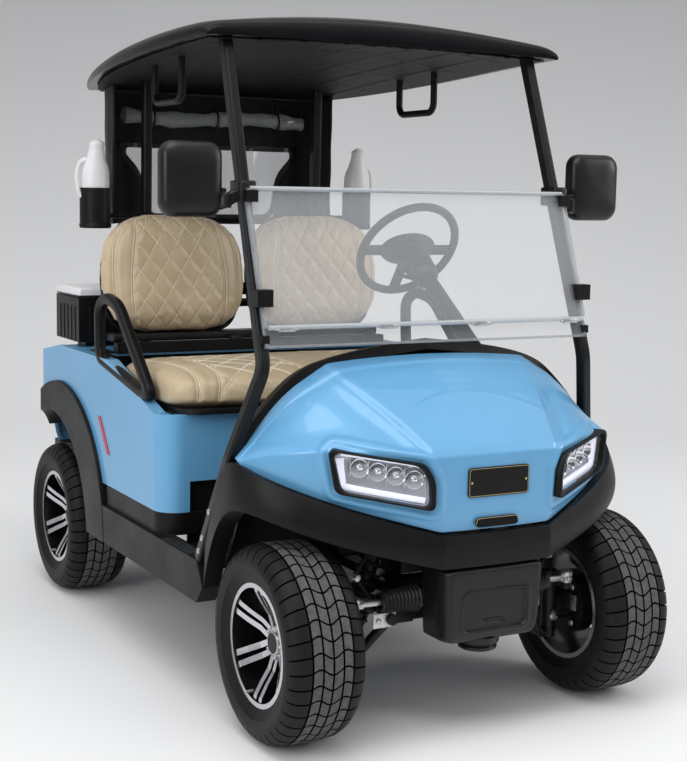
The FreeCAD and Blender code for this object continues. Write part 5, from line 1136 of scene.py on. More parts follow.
def make_lamps():
    """Bezels, housings, projectors and light strips of both headlamps."""
    bezel = lamp_dish("bezel", [(-0.006, -0.036), (-0.006, 0.004), (-0.004, 0.0085), (0.001, 0.0105),
                                (0.007, 0.009), (0.0115, 0.002), (0.013, -0.018)], 0.020, 35)
    housing = lamp_dish("housing", [(0.011, -0.012), (0.0135, -0.014), (0.017, -0.034), (0.024, -0.038)],
                        0.018, 30, -0.039)
    cover = lamp_dish("cover", [(0.012, -0.004), (0.016, -0.0015), (0.03, -0.0005), (0.05, 0.0)],
                      0.018, 30, 0.0005)
    bowls, domes = lamp_projectors()
    low = smooth_path([(0.021, 0.026), (0.13, 0.044), (0.226, 0.062), (0.236, 0.070), (0.2445, 0.104),
                       (0.2475, 0.132)], 40)
    end = [(0.2300, 0.070), (0.2345, 0.100), (0.2370, 0.132)]
    high = smooth_path([(0.020, 0.088), (0.034, 0.113), (0.13, 0.129), (0.235, 0.1435)], 30)
    guides = [lamp_guide(low, -0.020, 0.015, 0.010, 0.003), lamp_guide(end, -0.021, 0.019, 0.010, 0.003),
              lamp_guide(high, -0.022, 0.009, 0.008, 0.002)]
    for name, meshes, finish, slot, gone in (
            ("lamp_frames", [bezel], "black_plastic", "black_plastic", ("headlamp_bezels",)),
            ("lamp_housings", [housing], "lamp_tray", "lamp_lens", ()),
            ("lamp_bowls", bowls, "lamp_silver", "lamp_lens", ()),
            ("lamp_projectors", domes, "bulb", "lamp_lens", ()),
            ("lamp_strips", guides, "lamp_strip", "lamp_lens", ()),
            ("lamp_covers", [cover], "lamp_lens", "lamp_lens", ("headlamp_lenses",))):
        add_piece(name, mirror_x(joined(name, meshes, 35)), finish, "chassis", gone)


def plate_block(name, half_width, half_height, corner, depth, centre, tilt=0.0):
    section = block_section(half_width * 2, half_height * 2, corner, 5)
    grid = []
    for grow, out in ((0.0, 0.0), (0.0, depth - 0.0006), (-0.0006, depth), (-half_height * 0.6, depth)):
        sx, sz = (half_width + grow) / half_width, (half_height + grow) / half_height
        grid.append([(a * sx, -out, b * sz) for a, b in section])
    grid.append([(0, -depth, 0)] * len(section))
    grid.insert(0, [(0, 0, 0)] * len(section))
    mesh = outward(grid_mesh(name, grid, tube=True, sharp_deg=30))
    return moved(mesh, Matrix.Translation(centre) @ Matrix.Rotation(tilt, 4, "X"))


def make_plates():
    """The blank front plate and the bare badge place, each with a thin gilt line."""
    low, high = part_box("number_plate")
    middle = (low + high) / 2
    tall, wide = (high.z - low.z) / 2, (high.x - low.x) / 2
    face = low.y
    back = Vector((middle.x, high.y, middle.z))
    add_piece("plate_face", plate_block("plate", wide, tall, 0.009, high.y - face, back),
              "plate_black", "chassis", ("number_plate",))
    line = [(p[0], face - 0.0003, p[1] + middle.z) for p in block_section(
        wide * 2 - 0.006, tall * 2 - 0.006, 0.007, 5)]
    gilt = [sweep_mesh("line", line, block_section(0.0013, 0.0008, 0.0002, 1), True, (0, 1, 0))]
    screws = [bolt_mesh("screw", (x, face, middle.z), (0, -1, 0), 0.003, 0.0018)
              for x in (-wide + 0.010, wide - 0.010)]
    badge_at = Vector((-0.004, -1.1325, 0.583))
    badge = plate_block("badge", 0.066, 0.0125, 0.012, 0.0035, badge_at, math.radians(-8))
    add_piece("badge_place", badge, "plate_black", "chassis")
    ring = [(p[0] + badge_at.x, badge_at.y - 0.0036, p[1] + badge_at.z) for p in block_section(
        0.128, 0.0215, 0.0105, 6)]
    gilt.append(sweep_mesh("line", ring, block_section(0.0013, 0.0008, 0.0002, 1), True, (0, 1, 0)))
    add_piece("plate_lines", joined("lines", gilt + screws), "gilt", "chassis", ())


make_cowl()
make_lamps()
make_plates()

# Seats: foam swollen by cloth simulation, then pressed seams, quilted diamonds and stitches

stitch_length, stitch_gap, thread_radius = 0.0065, 0.0014, 0.0015
seam_depth, seam_width = 0.006, 0.008
quilt_depth, seam_spread, seat_middle = 0.0032, 0.009, 0.263


def points_of(mesh, what="co"):
    """The places, or the normals, of a mesh's vertices as an array."""
    flat = np.empty(len(mesh.vertices) * 3)
    mesh.vertices.foreach_get(what, flat)
    return flat.reshape(-1, 3)


def voxel_mesh(mesh, size):
    return baked(mesh, "REMESH", mode="VOXEL", voxel_size=size)


def simulated(mesh, frames, gravity, stiffness, pinned=(), **settings):
    """The mesh after some frames of cloth simulation, held at its pinned points."""
    made = bpy.data.objects.new("sim", mesh)
    scene.collection.objects.link(made)
    cloth = made.modifiers.new("cloth", "CLOTH")
    rules = cloth.settings
    rules.tension_stiffness = rules.compression_stiffness = stiffness
    rules.effector_weights.gravity = gravity
    for key, value in settings.items():
        setattr(rules, key, value)
    if pinned:
        made.vertex_groups.new(name="pins").add(pinned, 1.0, "REPLACE")
        rules.vertex_group_mass = "pins"
    cloth.collision_settings.use_collision = False
    cloth.point_cache.frame_start, cloth.point_cache.frame_end = 1, frames
    for frame_number in range(1, frames + 1):
        scene.frame_set(frame_number)
    result = evaluated(made)
    scene.frame_set(1)
    return result


def swollen(mesh, cap):
    """The mesh after a simulation that inflates it, moved no further than cap."""
    start = points_of(mesh)
    result = simulated(mesh, 14, 0.0, 22, quality=4, mass=0.3, shear_stiffness=12, bending_stiffness=1.6,
                       use_pressure=True, uniform_pressure_force=3.0)
    move = points_of(result) - start
    size = np.linalg.norm(move, axis=1, keepdims=True)
    move *= np.minimum(1.0, cap / np.maximum(size, 1e-9))
    result.vertices.foreach_set("co", (start + move).ravel())
    return result


def padded_body(mesh, voxel, cap):
    """A swollen, subdivided cushion from its plain form."""
    return baked(swollen(voxel_mesh(mesh, voxel), cap), "SUBSURF", levels=1, render_levels=1)


def pressed(mesh, depth_at):
    """Moves each vertex inward along its normal by depth_at(points, normals)."""
    points, normals = points_of(mesh), points_of(mesh, "normal")
    points = points - normals * depth_at(points, normals)[:, None]
    mesh.vertices.foreach_set("co", points.ravel())
    mesh.update()
    return smooth_mesh(mesh, 70)


def seat_depths(seams, quilts):
    """How deep seams and quilting press in, from distances to their flat paths."""
    def depth(a, b):
        seam, line = path_distance(a, b, seams), path_distance(a, b, quilts)
        press = seam_depth * bell(seam, seam_width) - 0.0016 * bell(seam - 0.020, 0.012)
        return press + quilt_depth * bell(line, 0.0075) - 0.0012 * (1 - bell(line, 0.03))
    return depth


def sewn_on(surface, paths, offset):
    """Stitches as short threads laid along flat paths that are projected onto a surface."""
    points, faces = [], []
    for path in paths:
        spots = [s for s in (surface(a, b) for a, b in path) if s]
        if len(spots) < 2:
            continue
        runs = [0.0]
        for (p, _), (q, _) in zip(spots, spots[1:]):
            runs.append(runs[-1] + (q - p).length)
        at = stitch_gap
        while at + stitch_length < runs[-1]:
            ends = []
            for stop in (at, at + stitch_length * 0.5, at + stitch_length):
                k = max(0, min(int(np.searchsorted(runs, stop)) - 1, len(spots) - 2))
                share = (stop - runs[k]) / max(runs[k + 1] - runs[k], 1e-9)
                place = spots[k][0].lerp(spots[k + 1][0], share)
                normal = spots[k][1].lerp(spots[k + 1][1], share).normalized()
                ends.append((place, normal))
            ahead = (ends[2][0] - ends[0][0]).normalized()
            faces += grid_faces(3, 4, tube=True, start=len(points))
            for (place, normal), lift in zip(ends, (-0.3, 1.0, -0.3)):
                side = ahead.cross(normal).normalized()
                centre = place + normal * (offset + thread_radius * lift)
                for c, s in ((1, 0), (0, 1), (-1, 0), (0, -1)):
                    points.append(centre + side * c * thread_radius + normal * s * thread_radius)
            at += stitch_length + stitch_gap
    return mesh_of("thread", points, faces, 80)


def clipped_lines(lines, keep, count=70):
    """The stretches of straight lines for which keep(a, b) holds, as point lists."""
    made = []
    for (a0, b0), (a1, b1) in lines:
        run = []
        for k in range(count + 1):
            a, b = a0 + (a1 - a0) * k / count, b0 + (b1 - b0) * k / count
            if keep(a, b):
                run.append((a, b))
            else:
                if len(run) > 2:
                    made.append(run)
                run = []
        if len(run) > 2:
            made.append(run)
    return made


def beside(paths, gap):
    """Two parallel paths either side of each flat path."""
    made = []
    for path in paths:
        for sign in (-1, 1):
            line = []
            for k, (a, b) in enumerate(path):
                (a0, b0), (a1, b1) = path[max(k - 1, 0)], path[min(k + 1, len(path) - 1)]
                size = math.hypot(a1 - a0, b1 - b0) or 1e-9
                line.append((a - (b1 - b0) / size * gap * sign / 2, b + (a1 - a0) / size * gap * sign / 2))
            made.append(line)
    return made


def caster(mesh):
    """A function from a ray to the point where it meets the mesh and the normal there."""
    tree = BVHTree.FromPolygons([v.co.copy() for v in mesh.vertices],
                                [tuple(p.vertices) for p in mesh.polygons])

    def cast(origin, aim, reach):
        spot, normal, _, _ = tree.ray_cast(origin, aim, reach)
        if spot is None:
            return None
        return spot, normal if normal.dot(aim) < 0 else -normal
    return cast


def stitching(surface, quilt, seams):
    """The quilt's single threads and a pair of threads beside each seam."""
    threads = [sewn_on(surface, quilt, 0.0004), sewn_on(surface, beside(seams, seam_spread), 0.0001)]
    return joined("thread", threads, 80)


def back_half_width(height):
    """Half the width of a seat back at a share of its height."""
    levels = [0.0, 0.04, 0.12, 0.25, 0.40, 0.55, 0.70, 0.82, 0.90, 0.96, 1.0]
    halves = [0.119, 0.181, 0.226, 0.255, 0.2655, 0.2665, 0.257, 0.234, 0.202, 0.157, 0.098]
    return np.interp(height, levels, halves)


back_low, back_high, back_face_y, back_lean_share, back_deep = 0.9365, 1.3375, 0.402, 0.130, 0.086
back_roundness, back_crown_power, back_end_power, back_bulge = 0.48, 5, 8, 0.058


def seat_back_mesh():
    """One seat back about X 0: a crowned front, rolled edges and a flat rear."""
    rows, columns = 64, 56
    grid = []
    for r in range(rows):
        t = r / (rows - 1)
        height = 0.5 - 0.5 * math.cos(math.pi * t)
        z = back_low + (back_high - back_low) * height
        half = float(back_half_width(height))
        lean = back_face_y + back_lean_share * (z - back_low)
        end = 1 - (2 * height - 1) ** back_end_power
        line = []
        for c in range(columns):
            angle = 2 * math.pi * c / columns
            ca, sa = math.cos(angle), math.sin(angle)
            x = half * math.copysign(abs(ca) ** back_roundness, ca)
            crown = 1 - abs(x / half) ** back_crown_power
            if sa >= 0:
                y = lean + 0.028 - back_bulge * crown * end - 0.006 * end * math.cos(math.pi * x / half / 2)
            else:
                y = lean + 0.028 + (back_deep - 0.066) * crown * end ** 0.5
            line.append((x, y + 0.012 * (1 - end), z))
        grid.append(line)
    return capped(grid_mesh("seat_back", grid, tube=True, sharp_deg=80), rows, columns)


def both_sides(lines):
    """Flat paths of the left side, after their mirror images."""
    return [[(-a, b) for a, b in line] for line in lines] + lines


def back_height(share):
    return back_low + (back_high - back_low) * share


def back_seams():
    """Flat (x, z) paths of the two bowed seams beside the quilted field."""
    line = []
    for k in range(41):
        t = k / 40
        height = 0.015 + 0.97 * t
        bow = 0.142 + 0.018 * math.sin(math.pi * min(t * 1.15, 1)) + 0.012 * (1 - t)
        line.append((min(bow, float(back_half_width(height)) - 0.03), back_height(height)))
    return both_sides([line])


def side_seams():
    """Flat (x, z) paths of the outer curved seams near each side."""
    line = []
    for k in range(31):
        t = k / 30
        height = 0.10 + 0.80 * t
        inner = 0.030 + 0.014 * math.sin(math.pi * t)
        line.append((float(back_half_width(height)) - inner, back_height(height)))
    return both_sides([line])


def across_at(seam, b):
    """How far out a flat seam lies at its coordinate b."""
    return float(np.interp(b, [p[1] for p in seam], [p[0] for p in seam]))


def back_quilt(seams):
    """Diamond lines of the seat back, leaning as in the photograph."""
    lines = []
    reach, slope_up, slope_down = 0.3, 1.55, 1.2
    for k in range(-9, 10):
        at = 0.072 * k
        lines.append(((at - reach, 1.135 - reach * slope_up), (at + reach, 1.135 + reach * slope_up)))
        lines.append(((at - reach, 1.15 + reach * slope_down), (at + reach, 1.15 - reach * slope_down)))

    def keep(x, z):
        return back_low + 0.020 < z < back_high - 0.010 and abs(x) < across_at(seams[1], z) - 0.006
    return clipped_lines(lines, keep)


def make_seat_backs():
    seams, sides = back_seams(), side_seams()
    quilt = back_quilt(seams)
    depth = seat_depths(seams + sides, quilt)

    def press(points, normals):
        return depth(points[:, 0], points[:, 2]) * np.clip(-normals[:, 1] * 2.2, 0, 1)
    body = pressed(padded_body(seat_back_mesh(), 0.0067, 0.007), press)
    cast = caster(body)

    def surface(x, z):
        return cast(Vector((x, 0.05, z)), Vector((0, 1, 0)), 0.6)
    thread = stitching(surface, quilt, seams + sides)
    for side_name, side in (("right", -1), ("left", 1)):
        place = Matrix.Translation((seat_middle * side, 0, 0))
        made = add_piece(f"back_cushion_{side_name}", moved(body.copy(), place), "seat_vinyl", "chassis",
                         (f"seat_back_{side_name}",))
        add_piece(f"back_stitching_{side_name}", moved(thread.copy(), place), "stitch")


cushion_box = (-0.545, 0.545, -0.300, 0.270, 0.782, 0.894)
cushion_end_power, cushion_plan_power, cushion_roundness, cushion_floor = 9, 5, 0.42, 0.030


def cushion_mesh():
    """The bench cushion: rolled front edge, crowned top, flat underneath."""
    x0, x1, y0, y1, z0, z1 = cushion_box
    rows, columns = 60, 36
    grid = []
    for r in range(rows):
        across = -math.cos(math.pi * r / (rows - 1))
        x = (x1 - x0) / 2 * across
        edge = max(0.0, 1 - abs(across) ** cushion_end_power) ** 0.5
        plan = max(0.0, 1 - abs(across) ** cushion_plan_power) ** (1 / 2.7)
        line = []
        for c in range(columns):
            angle = 2 * math.pi * c / columns
            ca, sa = math.cos(angle), math.sin(angle)
            ahead = math.copysign(abs(ca) ** cushion_roundness, ca) * (0.62 + 0.38 * plan)
            y = (y0 + y1) / 2 + (y1 - y0) / 2 * ahead
            if sa >= 0:
                share = abs(sa) ** 0.62
                crown = 0.85 + 0.15 * math.cos(math.pi * (y - y0) / (y1 - y0) - 1.3)
                z = z0 + cushion_floor + (z1 - z0 - 0.034) * share * crown * (0.55 + 0.45 * edge)
            else:
                z = z0 + cushion_floor - 0.028 * abs(sa) ** 0.4
            line.append((x, y, z))
        grid.append(line)
    return capped(grid_mesh("cushion", grid, tube=True, sharp_deg=80), rows, columns)


seam_bows = ((0.408, 0.436, -0.030), (0.112, 0.096, 0.012), (0.470, 0.520, -0.022))


def cushion_seams():
    """Flat (x, b) paths, b running from the front underside over the edge and back along the top."""
    half = [[(foot + (head - foot) * k / 36 + bow * math.sin(math.pi * k / 36), 0.02 + 0.62 * k / 36)
             for k in range(37)] for foot, head, bow in seam_bows]
    return both_sides(half)


def cushion_quilt(seams):
    """Diamond lines of both seats, laid out on the right one and mirrored."""
    reach, rise, middle = 0.35, 0.40, 0.33
    outer, inner = seams[3], seams[4]
    lines = []
    for k in range(-7, 8):
        at = 0.104 * k - seat_middle
        for sign in (-1, 1):
            lines.append(((at - reach, middle + rise * sign), (at + reach, middle - rise * sign)))

    def keep(x, b):
        return 0.03 < b < 0.60 and across_at(inner, b) + 0.008 < abs(x) < across_at(outer, b) - 0.008
    right = [path for path in clipped_lines(lines, keep, 160) if path[0][0] < 0]
    mirrored = [((-a[0], a[1]), (-b[0], b[1])) for a, b in lines]
    return right + clipped_lines(mirrored, keep, 160)


front_foot_z, front_turn_y, front_turn_z = 0.782, -0.235, 0.822
front_bend, turn_start = 0.055 * 1.1, 0.040


def over_front(y, z):
    """The wrap coordinate b of a point: up the front, round the edge, then back along the top."""
    angle = np.arctan2(np.maximum(z - front_turn_z, 0.0), np.maximum(front_turn_y - y, 1e-6))
    top = turn_start + front_bend * math.pi / 2 + (y - front_turn_y)
    face = np.where(z < front_turn_z, z - front_foot_z, turn_start + front_bend * angle)
    return np.where(y > front_turn_y, top, face)


def make_cushion():
    seams = cushion_seams()
    quilt = cushion_quilt(seams)
    depth = seat_depths(seams, quilt)

    def press(points, normals):
        b = over_front(points[:, 1], points[:, 2])
        facing = np.clip((normals[:, 2] - normals[:, 1]) * 1.8 - 0.1, 0, 1) * (points[:, 2] > 0.79)
        return depth(points[:, 0], b) * facing
    body = pressed(padded_body(cushion_mesh(), 0.0090, 0.006), press)
    cast = caster(body)

    def surface(x, b):
        turned = b - turn_start
        if turned < 0:
            return cast(Vector((x, -0.6, front_foot_z + b)), Vector((0, 1, 0)), 0.9)
        if turned < front_bend * math.pi / 2:
            angle = turned / front_bend
            aim = Vector((0, math.cos(angle), -math.sin(angle)))
            return cast(Vector((x, front_turn_y, front_turn_z)) - aim * 0.4, aim, 0.9)
        along = turned - front_bend * math.pi / 2 + front_turn_y
        return cast(Vector((x, along, 1.2)), Vector((0, 0, -1)), 0.9)
    made = add_piece("bench_cushion", body, "seat_vinyl", "seat", ("seat_cushion",))
    add_piece("bench_stitching", stitching(surface, quilt, seams), "stitch", "seat")


make_seat_backs()
make_cushion()

# Roof underside, screen, rear cover and bottles

roof_row_shares = [
    (0.004, 0.970, 0.440, 0.430, 0.415), (0.000, 0.980, 0.700, 0.580, 0.420),
    (0.030, 0.985, 0.860, 0.620, 0.415), (0.200, 1.000, 0.970, 0.620, 0.380),
    (0.500, 1.000, 0.985, 0.520, 0.260), (0.800, 0.930, 0.760, 0.330, 0.150),
    (0.970, 0.800, 0.430, 0.200, 0.090), (1.000, 0.760, 0.210, 0.130, 0.080)]
roof_front, roof_long, roof_base, roof_high, roof_half = -0.560, 1.350, 1.740, 0.190, 0.590
liner_inset, liner_gap = 0.034, 0.003


def make_roof_liner():
    """Ribbed underside panel just below the roof."""
    half = []
    for along, width, centre, side, lip in roof_row_shares:
        y = roof_front + liner_inset + along * (roof_long - liner_inset * 2)
        wide = width * roof_half - liner_inset
        line = []
        for share in (0, 0.3, 0.6, 0.85, 0.95, 1.0):
            rise = lip + (0.05 + 0.25 * (centre - side)) * (1 - share * share)
            line.append((wide * share, y, roof_base + roof_high * rise - liner_gap))
        half.append(line)
    poles = mirrored_grid(half)
    grid = spline_blocks(spline_blocks(poles, (0, 7), (120,), 0), (0, 10), (120,), 1)
    x, y = grid[..., 0], grid[..., 1]
    along = np.abs((x / 0.135) % 1.0 - 0.5)
    across = np.abs(((y - 0.35 * np.abs(x)) / 0.27) % 1.0 - 0.5)
    field = soft_step(0.50 - np.abs(x), 0.0, 0.02)
    rib = np.maximum(soft_step(along, 0.44, 0.475), soft_step(across, 0.47, 0.49))
    grid[..., 2] -= 0.0028 * rib * field
    add_piece("roof_liner", shell_mesh("liner", grid, 0.002, sharp_deg=25), "liner", "chassis", ())


screen_lean = 0.3521
pane_places = ((-0.8086, 1.012, 1.422), (-0.8036, 1.064, 1.422))
pane_half, edge_size, bead_radius, latch_half = 0.513, 0.007, 0.0065, 0.024


def make_screen_edges():
    """Rims and beads of the panes, the latches at the fold, and bolts at the clips and struts."""
    rims, loops, latches = [], [], []
    for y, low, high in pane_places:
        path = []
        for a, b in block_section(pane_half * 2 - edge_size, high - low - edge_size, 0.014, 4):
            z = (low + high) / 2 + b
            path.append((a, y + screen_lean * (z - low), z))
        rims.append(sweep_mesh("rim", path, block_section(edge_size, edge_size, 0.002, 2), True,
                               (0, -1, screen_lean)))
    y, low, high = pane_places[1]
    for z in (low + 0.001, high - 0.002):
        spot = y + screen_lean * (z - low) - 0.003
        loops.append(sweep_mesh("bead", [(-pane_half + 0.012, spot, z), (pane_half - 0.012, spot, z)],
                                round_section(bead_radius, 12)))
    for x in (-0.452, -0.150, 0.150, 0.452):
        z = low - 0.004
        spot = y + screen_lean * (z - low) - 0.006
        latches.append(box_mesh("latch", (x - latch_half, spot - 0.004, z - 0.006),
                                (x + latch_half, spot + 0.006, z + 0.006), 0.002))
        pin = [(x - latch_half - 0.010, spot, z), (x + latch_half + 0.010, spot, z)]
        latches.append(tube_mesh("pin", pin, 0.0032, 10))
    for side in (-1, 1):
        for z in (1.140, 1.400):
            spot = -0.800 + screen_lean * (z - 0.960) - 0.037
            latches.append(bolt_mesh("bolt", (side * 0.507, spot, z), (0, -1, 0.2), 0.006, 0.004))
    for y, z in ((-0.640, 0.560), (-0.600, 0.480), (-0.580, 0.440)):
        for side in (-1, 1):
            spot = (side * (0.5931 + 0.032 * (0.56 - z)), y, z)
            latches.append(bolt_mesh("bolt", spot, (side, 0.09, 0.08), 0.009, 0.006))
    add_piece("screen_rims", joined("rims", rims), "sheet_rim", "chassis", ())
    add_piece("screen_beads", joined("beads", loops), "sheet_edge", "chassis", ())
    add_piece("screen_latches", joined("latches", latches), "steel", "chassis")


cover_half, cover_front, cover_back = 0.420, 0.606, 0.760
cover_low, cover_high, cover_bend = 1.302, 1.766, 0.060
cover_sides, cover_arc = cover_back - cover_front - cover_bend, cover_bend * math.pi / 2
cover_long = 2 * cover_sides + 2 * cover_arc + 2 * (cover_half - cover_bend)
cover_rows, cover_columns = 48, 121
window_low, window_high = 1.322, 1.574
window_half = ((window_low, 0.247), (1.47, 0.272), (1.54, 0.332), (window_high, 0.325))
hem_radius, roll_y, roll_z, roll_half, roll_radius = 0.005, 0.712, 1.668, 0.345, 0.026


def cover_point(run):
    """Plan point and outward direction of the hung cover at a distance along it."""
    if run > cover_long / 2:
        place, out = cover_point(cover_long - run)
        return Vector((-place.x, place.y, 0)), Vector((-out.x, out.y, 0))
    if run < cover_sides:
        return Vector((-cover_half, cover_front + run, 0)), Vector((-1, 0, 0))
    run -= cover_sides
    if run < cover_arc:
        angle = run / cover_bend
        out = Vector((-math.cos(angle), math.sin(angle), 0))
        return Vector((-cover_half + cover_bend, cover_back - cover_bend, 0)) + out * cover_bend, out
    return Vector((-cover_half + cover_bend + run - cover_arc, cover_back, 0)), Vector((0, 1, 0))


def hung_cover(faces):
    """The points of the cloth after it has hung from its pinned edges for a moment."""
    grid = np.zeros((cover_rows, cover_columns, 3))
    for c in range(cover_columns):
        run = cover_long * c / (cover_columns - 1)
        place, out = cover_point(run)
        for r in range(cover_rows):
            t = r / (cover_rows - 1)
            fold = 0.0055 * math.sin(run * 34 + 1.3 * math.sin(run * 9)) + 0.003 * math.sin(run * 83 + 2)
            fold += 0.002 * math.sin(t * 17 + run * 21)
            spot = place + out * (fold * (0.25 + 0.75 * t) - 0.004)
            grid[r, c] = (spot.x, spot.y, cover_high - (cover_high - cover_low) * t)
    ends = (0, cover_columns - 1)
    pins = list(range(cover_columns)) + [r * cover_columns + c for r in range(cover_rows) for c in ends]
    pins += [(cover_rows - 1) * cover_columns + c for c in range(0, cover_columns, 15)]
    mesh = mesh_of("cover", grid.reshape(-1, 3), faces, 80)
    hanging = simulated(mesh, 16, 1.0, 30, pins, quality=6, mass=0.4, bending_stiffness=3)
    points = [v.co.copy() for v in hanging.vertices]
    bpy.data.meshes.remove(hanging)
    return points


def cover_hems(points):
    """The hems at the edges and round the window, and the rail that the cloth hangs from."""
    def cloth_point(x, z):
        """The hanging cloth at a distance along it from the middle and a height."""
        c = (x / cover_long + 0.5) * (cover_columns - 1)
        r = (cover_high - z) / (cover_high - cover_low) * (cover_rows - 1)
        c0, r0 = int(c), int(r)
        near = r0 * cover_columns + c0
        top = points[near].lerp(points[near + 1], c - c0)
        foot = points[near + cover_columns].lerp(points[near + cover_columns + 1], c - c0)
        return top.lerp(foot, r - r0)

    right = [(half, z) for z, half in window_half]
    frame_line = rounded_outline([(-right[0][0], right[0][1]), *right,
                                  *((-x, z) for x, z in right[:0:-1])], 0.05, 10)
    dense = smooth_path([(p.x, p.y, 0) for p in frame_line], 260, True)
    rim_path = [cloth_point(p.x, p.y) for p in dense]
    hems = [sweep_mesh("hem", rim_path, block_section(0.022, 0.0045, 0.002, 2), True, (0, 1, 0))]
    foot = (cover_rows - 1) * cover_columns
    hems.append(tube_mesh("hem", points[foot:foot + cover_columns:2], hem_radius, 8))
    for c in (0, cover_columns - 1):
        hems.append(tube_mesh("hem", points[c::3 * cover_columns], hem_radius, 8, up=(1, 0, 0)))
    rail = [cover_point(cover_long * k / 60) for k in range(61)]
    inner = [p - o * 0.010 + Vector((0, 0, cover_high - 0.010)) for p, o in rail]
    hems.append(tube_mesh("rail", inner, 0.006, 8))
    return hems


def make_rear_cover():
    """Black cloth round the rear of the roof, with a clear window."""
    faces = grid_faces(cover_rows, cover_columns)
    points = hung_cover(faces)
    cloth, film = [], []
    levels, halves = zip(*window_half)
    for face in faces:
        r, c = divmod(face[0], cover_columns)
        x = (c / (cover_columns - 1) - 0.5) * cover_long
        z = cover_high - (cover_high - cover_low) * (r + 0.5) / (cover_rows - 1)
        clear = abs(x) < float(np.interp(z, levels, halves)) and window_low < z < window_high
        (film if clear else cloth).append(face)
    parts = []
    for name, kept, thickness in (("cover_cloth", cloth, 0.0016), ("cover_film", film, 0.0010)):
        mesh = edited(mesh_of(name, points, kept, 80), drop_loose)
        parts.append(smooth_mesh(baked(mesh, "SOLIDIFY", thickness=thickness, offset=0.0), 60))
    made = add_piece("rear_cover_cloth", parts[0], "black_fabric", "chassis", ("rear_cover",))
    window = add_piece("rear_cover_window", parts[1], "film")
    hem = add_piece("rear_cover_hems", joined("hems", cover_hems(points)), "satin_black")


def make_rolled_screen():
    """The screen rolled up inside the cover, and its three straps."""
    path, swell = [], []
    for k in range(73):
        x = -roll_half + 2 * roll_half * k / 72
        path.append((x, roll_y, roll_z + 0.006 * math.sin(x * 11)))
        size = roll_radius + 0.003 * math.sin(x * 31) + 0.002 * math.sin(x * 73 + 1)
        swell.append([(a * (1 + 0.05 * math.sin(x * 60 + i)), b) for i, (a, b) in
                      enumerate(round_section(size, 18))])
    add_piece("rolled_screen", sweep_mesh("roll", path, swell), "film")
    rings, links = [], []
    for x in (-0.24, 0.0, 0.24):
        loop = [Vector((x, roll_y, roll_z)) + Vector((0, math.cos(a), math.sin(a))) * (roll_radius + 0.005)
                for a in np.linspace(0, 2 * math.pi, 25)[:-1]]
        rings.append(tube_mesh("strap", loop, 0.004, 6, True, (1, 0, 0)))
        link = [(x, roll_y, 1.698), (x, roll_y + 0.013, 1.752)]
        links.append(tube_mesh("strap", link, 0.004, 6, up=(1, 0, 0)))
    add_piece("screen_straps", joined("straps", rings + links), "satin_black")


bottle_x, bottle_y, bottle_foot, sleeve_z = 0.500, 0.560, 1.284, 1.402


def make_bottles():
    """Sand bottles: shouldered body, leaning neck and side handle."""
    levels = [(1.300, 0.0, 0.0), (1.302, 0.044, 0.0), (1.308, 0.0465, 0.0), (1.43, 0.0470, 0.0),
              (1.468, 0.0465, 0.0), (1.490, 0.0420, 0.002), (1.506, 0.0350, 0.004),
              (1.522, 0.0300, 0.007), (1.540, 0.0265, 0.010), (1.552, 0.0240, 0.012),
              (1.558, 0.0255, 0.013), (1.566, 0.0250, 0.014), (1.572, 0.0180, 0.015),
              (1.578, 0.0080, 0.015), (1.579, 0.0, 0.015)]
    handle = [(0.030, 0.0, 1.512), (0.052, 0.004, 1.500), (0.062, 0.006, 1.455), (0.056, 0.004, 1.405),
              (0.045, 0.0, 1.385)]
    collar = [(0, 0.0495), (0.0, 0.0512), (0.003, 0.0525), (0.013, 0.0525), (0.016, 0.0512),
              (0.016, 0.0495)]
    cup = [(0, 0.0), (0, 0.050), (0.004, 0.0535), (0.014, 0.0535), (0.016, 0.052)]
    bottles, sleeves = [], []
    for side in (-1, 1):
        base = Vector((bottle_x * side, bottle_y, 0))
        grid = []
        for z, radius, lean in levels:
            middle = base + Vector((-lean * side * 0.2, -lean, z))
            grid.append([middle + Vector((math.cos(a), math.sin(a), 0)) * radius
                         for a in np.linspace(0, 2 * math.pi, 40, endpoint=False)])
        bottles.append(outward(grid_mesh("bottle", grid, tube=True, sharp_deg=50)))
        loop = smooth_path([base + Vector((side * x, y, z)) for x, y, z in handle], 26)
        bottles.append(sweep_mesh("grip", loop, block_section(0.020, 0.011, 0.004, 3), up=(1, 0, 0)))
        for outline, z in ((collar, sleeve_z), (cup, bottle_foot)):
            sleeves.append(lathe("sleeve", outline, (0, 0, 1), base + Vector((0, 0, z)), 40))
    add_piece("bottle_bodies", joined("bottles", bottles, 50), "white_plastic", "chassis", ("sand_bottles",))
    add_piece("bottle_sleeves", joined("sleeves", sleeves, 40), "black_plastic")


# Mirrors

mirror_centre = Vector((0.648, -0.640, 1.441))
mirror_wide, mirror_high, mirror_corner = 0.170, 0.196, 0.038


def mirror_rings(levels):
    """Rings of the mirror's outline at (size share, how far back)."""
    outline = block_section(mirror_wide, mirror_high, mirror_corner, 8)
    return [[mirror_centre + Vector((a * s, y, b * s)) for a, b in outline] for s, y in levels]


